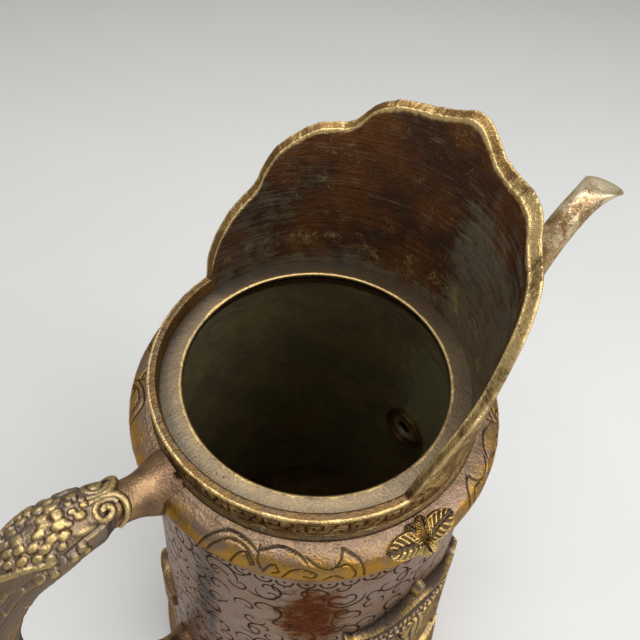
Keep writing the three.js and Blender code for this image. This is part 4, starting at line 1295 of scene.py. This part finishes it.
def leaf(bm, share, turn, x, y):
    """One ribbed leaf, growing from (x, y) in the direction of turn."""
    length, width = LEAF_LONG * share, LEAF_WIDE * sqrt(share)
    made = bmesh.ops.create_grid(bm, x_segments=64, y_segments=44, size=1)["verts"]
    faces = list(dict.fromkeys(f for v in made for f in v.link_faces))
    paint = paints(bm)
    for v in made:
        t, w = 0.02 + 0.96 * (v.co.x + 1) / 2, v.co.y
        along = length * (0.3 * t * (1 - t) ** 2 + 2.16 * t * t * (1 - t) + t ** 3)
        wide = width * (1.98 * t * (1 - t) ** 2 + 2.04 * t * t * (1 - t))
        flat = Vector((along, w * wide, 0))
        flat.rotate(Matrix.Rotation(radians(turn), 3, "Z"))
        ribs = sin(2 * pi * (7.5 * t - 1.9 * abs(w)) / (0.6 + 0.4 * share))
        middle = 1 - smooth(abs(w) * wide, 0.25, 0.6)
        border = smooth(abs(w), 0.74, 0.8) * (1 - smooth(abs(w), 0.97, 1))
        inner = 1 - smooth(abs(w), 0.7, 0.78)
        height = 1.25 * sqrt(max(0, 1 - abs(w) ** 6)) + 0.28 * ribs * inner * (1 - middle)
        height += 0.35 * border - 0.55 * middle + 0.35 * (1 - w * w)
        v[paint.wear] = min(1, (0.55 + 0.5 * ribs) * inner * (1 - middle) + 0.9 * border)
        v[paint.grime] = 0.4 * min(1, max(0, -ribs) * inner + middle)
        dark = min(0.8, 0.9 * max(-ribs - 0.35, 0) * inner + 0.7 * middle)
        v[paint.line] = dark * (1 - border)
        v.co = on_roll(lay @ (flat + Vector((x, y, 0))), height)
    under = bmesh.ops.extrude_face_region(bm, geom=faces)["geom"]
    for v in (g for g in under if isinstance(g, bmesh.types.BMVert)):
        v.co = on_roll(v.co, 0.05)


SIDES = (("near", 1), ("far", -1))
for name, mirror in SIDES:
    leaves = bmesh.new()
    paints(leaves)
    for share, turn, x, y in LEAVES:
        leaf(leaves, share, turn, x, y)
    bmesh.ops.scale(leaves, vec=(1, mirror, 1), verts=leaves.verts)
    make_piece("leaves_" + name, leaves, leaf_brass, "worn_brass", "leaf_spray_" + name, sharp=50)

# %% [markdown]
# The pavilion and the cloud are flat castings, bent round the body and soldered on. Boxes and
# cylinders would have to be bent afterwards, one by one. So each part is a grid over an angle
# and a height, which is round from the start, and it gets its own small relief. A relief gives
# three things at a place: how far the face is lifted, how worn it is and how dark.

# %% Grids raised on the wall
def wall_piece(bm, middle, half, grid, size_at, relief):
    """Raise a grid on the body, from its middle and half width in degrees.

    size_at gives low edge, high edge and thickness at a share from -1 to 1 across.
    """
    made = bmesh.ops.create_grid(bm, x_segments=grid[0], y_segments=grid[1], size=1)["verts"]
    faces = list(dict.fromkeys(f for v in made for f in v.link_faces))
    paint = paints(bm)
    for v in made:
        share, t = v.co.x, (v.co.y + 1) / 2
        low, high, thick = size_at(share)
        z = low + (high - low) * t
        wide = radians(half) * body_radius(z)
        edge = min((1 - abs(share)) * wide, t * (high - low), (1 - t) * (high - low))
        lift, v[paint.wear], v[paint.line] = relief(share * wide, z, t)
        v[paint.grime] = max(0, 1 - 2 * v[paint.wear]) * 0.6
        radius = body_radius(z) + 0.3 + (thick - 0.5 + lift) * smooth(edge, -0.2, 0.8)
        turn = radians(middle + share * half)
        v.co = Vector((radius * cos(turn), radius * sin(turn), z))
    under = bmesh.ops.extrude_face_region(bm, geom=faces)["geom"]
    for v in (g for g in under if isinstance(g, bmesh.types.BMVert)):
        flat = Vector((v.co.x, v.co.y, 0)).normalized() * (body_radius(v.co.z) + 0.05)
        v.co = flat + Vector((0, 0, v.co.z))


def beads(across, pitch):
    """A row of round beads at this pitch: 1 on a bead's middle, 0 between two."""
    return abs(sin(pi * across / pitch))


def plain(across, z, t):
    """A slightly uneven cast face."""
    uneven = noise.noise(Vector((across, z, 4)) * 0.5)
    return 0.15 * uneven, 0.35 + 0.5 * uneven, 0


print("the wall is", round(body_radius(100), 1), "mm from the axis at 100 mm up")

# %% [markdown]
# The roof is what the photograph shows of the pavilion: a curved ridge with a rope along it, a
# second rope halfway down, slanted tiles and a beaded eave whose ends turn up. Each is a band of
# the same relief, told apart by how far up the roof it lies.

# %% Roof
def roof_size(share):
    """The curved roof: it sags from the middle, and its eaves turn up at the ends."""
    out = abs(share)
    sag = 12 * (smooth(out, 0, 0.85) - 0.25 * smooth(out, 0.85, 1))
    return 148 + 5 * out ** 4, 171 - sag, 4 - 1.6 * out ** 2


def roof_relief(across, z, t):
    """Rope ridge, slanted tiles, a second rope and a beaded eave."""
    if t > 0.89:
        rope = abs(sin(pi * (across / 2.1 + z / 2.4)))
        bulge = sin(pi * min(1, (t - 0.89) / 0.1))
        return -0.2 + 0.5 * bulge + 0.2 * rope, (0.35 + 0.5 * rope) * bulge, 0.5 * (1 - bulge)
    if t < 0.1:
        bead = beads(across, 2.8)
        return 0.3 * bead, 0.9 * bead, 0.9 * (1 - bead)
    if 0.36 < t < 0.45:
        bead = beads(across, 2)
        return 0.1 + 0.3 * bead, 0.7 * bead, 0.7 * (1 - bead)
    tile = 0.5 + 0.5 * sin(2 * pi * (across * 0.8 + z * (1 if across > 0 else -1)) / 2.6)
    return -0.75 + 0.3 * tile, 0.12 * tile, 0.8 * (1 - smooth(tile, 0.1, 0.4))


print("roof from", roof_size(0)[0], "to", roof_size(0)[1], "mm up in its middle")

# %% [markdown]
# Under the roof stands the hall, which the photograph does not show, so it is built as such
# reliefs usually are: a lattice screen between two posts, a terrace with a railing, a ribbed
# lantern in the middle and a small finial on the ridge.

# %% Pavilion
def railing(across, z, t):
    """Upright balusters under a plain rail."""
    if t > 0.75 or t < 0.2:
        return 0.2, 0.7, 0
    slot = smooth(beads(across, 2.6), 0.3, 0.5)
    return -0.8 + 0.6 * slot, 0.6 * slot, 0.8 * (1 - slot)


def ribbed(across, z, t):
    """Upright ribs of a lantern."""
    rib = abs(cos(pi * across / (2.2 + 2.2 * sin(pi * t))))
    return -0.5 + 0.5 * rib, 0.9 * rib, 0.7 * (1 - smooth(rib, 0.1, 0.4))


def lattice(across, z, t):
    """Crossed bars of a screen."""
    bars = max(smooth(beads(across + z, 5), 0.85, 0.95), smooth(beads(across - z, 5), 0.85, 0.95))
    return 0.45 * bars, 0.6 * bars, 0.5 * (1 - bars)


def oval(middle, half, bulge):
    """Low edge, high edge and bulge of a rounded part, which narrows to both sides."""
    return lambda s: (middle - half * sqrt(1 - 0.8 * s * s),
                      middle + half * sqrt(1 - 0.8 * s * s), bulge(s))


# Each part: middle and half width in degrees, grid, edges and thickness in mm, and relief
PAVILION = (
    (-90, 20.7, (90, 100), lambda s: (77, 155, 1.2), lattice),
    (-110, 1.8, (16, 80), lambda s: (76, 153, 3.1), plain),
    (-70, 1.8, (16, 80), lambda s: (76, 153, 3.1), plain),
    (-90, 23, (150, 24), lambda s: (72, 81, 3.7), railing),
    (-90, 6, (60, 60), oval(135, 11, lambda s: 1.6 + 2.6 * sqrt(1 - 0.6 * s * s)), ribbed),
    (-90, 2.6, (30, 20), lambda s: (
        169, 171 + 7 * sqrt(1 - 0.9 * s * s), 3.1 * sqrt(1 - 0.5 * s * s)), plain),
    (-90, 27, (260, 60), roof_size, roof_relief),
)
print("a pavilion has", len(PAVILION), "parts")

# %% [markdown]
# On each side of the handle a cloud of flat scrolls is soldered to the wall. Its scrolls are
# spirals on the flat sheet, cut into the same kind of grid as the pavilion's parts, because the
# real ones were cut into the casting too. Then pavilion and cloud are made for both sides.

# %% Pavilions and clouds
def spiral(x, y, reach, turns, start, hand):
    """Points of a flat spiral round (x, y)."""
    points = []
    for k in range(22):
        away, angle = reach * (1 - k / 24), start + hand * turns * 2 * pi * k / 24
        points.append((x + away * cos(angle), y + away * sin(angle)))
    return points


cloud_lines = Drawing([spiral(-5, 95, 5, 1.6, 0, 1), spiral(5, 95, 5, 1.6, pi, -1),
                       spiral(0, 82, 6, 1.5, 1, 1), spiral(0, 103, 4, 1.2, 4, -1),
                       spiral(-5, 75, 4, 1.3, 2, 1)], 0.9)


def cloud_relief(across, z, t):
    """Scrolls of the cloud."""
    cut = cloud_lines.depth(across, z)
    return -0.5 * cut, 0.25 * (1 - cut), 0.9 * cut


CLOUD = ((-161, 9.5, (70, 110), oval(90, 18, lambda s: 3.8 * sqrt(1 - 0.75 * s * s)),
          cloud_relief),)
for name, mirror in SIDES:
    for title, parts, node_name, finish, slot in (
            ("pavilion_", PAVILION, "roof_relief_", roof_brass, "worn_brass"),
            ("cloud_", CLOUD, "cloud_relief_", brown_brass, "brown_brass")):
        made = bmesh.new()
        paints(made)
        for part in parts:
            wall_piece(made, *part)
        bmesh.ops.scale(made, vec=(1, mirror, 1), verts=made.verts)
        make_piece(title + name, made, finish, slot, node_name + name, sharp=50)

# %% [markdown]
# The ewer stands on pale paper, as in a small photo studio. A picture of a studio could light
# it too, but plain lamps are easier to read and to change: one soft lamp hangs above and behind
# the ewer, a second one stands in for a window at its near side, and even pale light from all
# round fills the shadows. The camera and shiny metal see those surroundings brighter than they
# shine.

# %% Floor, light and surroundings
PAPER_CLOUD = 400
LAMPS = (("overhead_softbox", (0.1, 0.15, 1.6), 1.0, 14), ("window", (0.5, -1.15, 1.3), 1.3, 15))
LAMP_TARGET = (0, 0, 0.2)
FILL, SHOWN = 0.36, 0.9


def plain_floor():
    """A wide pale floor at the ewer's foot."""
    bm = bmesh.new()
    bmesh.ops.create_grid(bm, x_segments=8, y_segments=8, size=4)
    mesh = bpy.data.meshes.new("floor")
    bm.to_mesh(mesh)
    bm.free()
    # Matt background paper: no shine, a hardly visible cloudiness, and painted shade that makes it
    # greyer towards the back, where the lamps' light falls off
    material = bpy.data.materials.new("pale_paper_and_painted_falloff")
    material.use_nodes = True
    tree = material.node_tree
    tree.nodes.clear()
    place = node(tree, "TexCoord", out="Object")
    cloudy = spots(tree, place, PAPER_CLOUD)
    paper = node(tree, "Mix", {0: cloudy, 6: "#dcdcda", 7: "#e0e0de"}, 2, data_type="RGBA")
    # Painted shade: darker towards the back
    far = node(tree, "VectorMath", (place, (0.66, 0.75, 0)), "Value", operation="DOT_PRODUCT")
    far = node(tree, "MapRange", (far, 0.1, 1.1))
    paper = node(tree, "Mix", {0: far, 6: paper, 7: "#c9cac5"}, 2, data_type="RGBA")
    node(tree, "OutputMaterial", (
        node(tree, "BsdfPrincipled", {"Base Color": paper, "Roughness": 0.8}),))
    mesh.materials.append(material)
    floor_piece = bpy.data.objects.new("floor", mesh)
    scene.collection.objects.link(floor_piece)


def soft_lamp(name, place, size, power):
    """A square soft lamp aimed at the ewer."""
    data = bpy.data.lights.new(name, "AREA")
    data.shape = "SQUARE"
    data.size = size
    data.energy = power
    lamp = bpy.data.objects.new(name, data)
    aim = (Vector(LAMP_TARGET) - Vector(place)).to_track_quat("-Z", "Y")
    lamp.matrix_world = Matrix.Translation(place) @ aim.to_matrix().to_4x4()
    scene.collection.objects.link(lamp)


def pale_surroundings():
    """Even pale light from all round; the camera and mirror-like metal see it brighter."""
    world = bpy.data.worlds.new("surroundings")
    scene.world = world
    world.use_nodes = True
    tree = world.node_tree
    tree.nodes.clear()
    path = node(tree, "LightPath").node.outputs
    seen = node(tree, "Math", (path["Is Camera Ray"], path["Is Glossy Ray"]), operation="MAXIMUM")
    seen = node(tree, "Math", (seen, path["Is Transmission Ray"]), operation="MAXIMUM")
    light = node(tree, "Background", {"Color": "#ffffff", "Strength": FILL})
    shown = node(tree, "Background", {"Color": "#c6c6c2", "Strength": SHOWN})
    node(tree, "OutputWorld", (node(tree, "MixShader", (seen, light, shown)),))


plain_floor()
for lamp in LAMPS:
    soft_lamp(*lamp)
pale_surroundings()
scene.view_settings.view_transform = "Standard"
print("lamps:", [name for name, *_ in LAMPS])
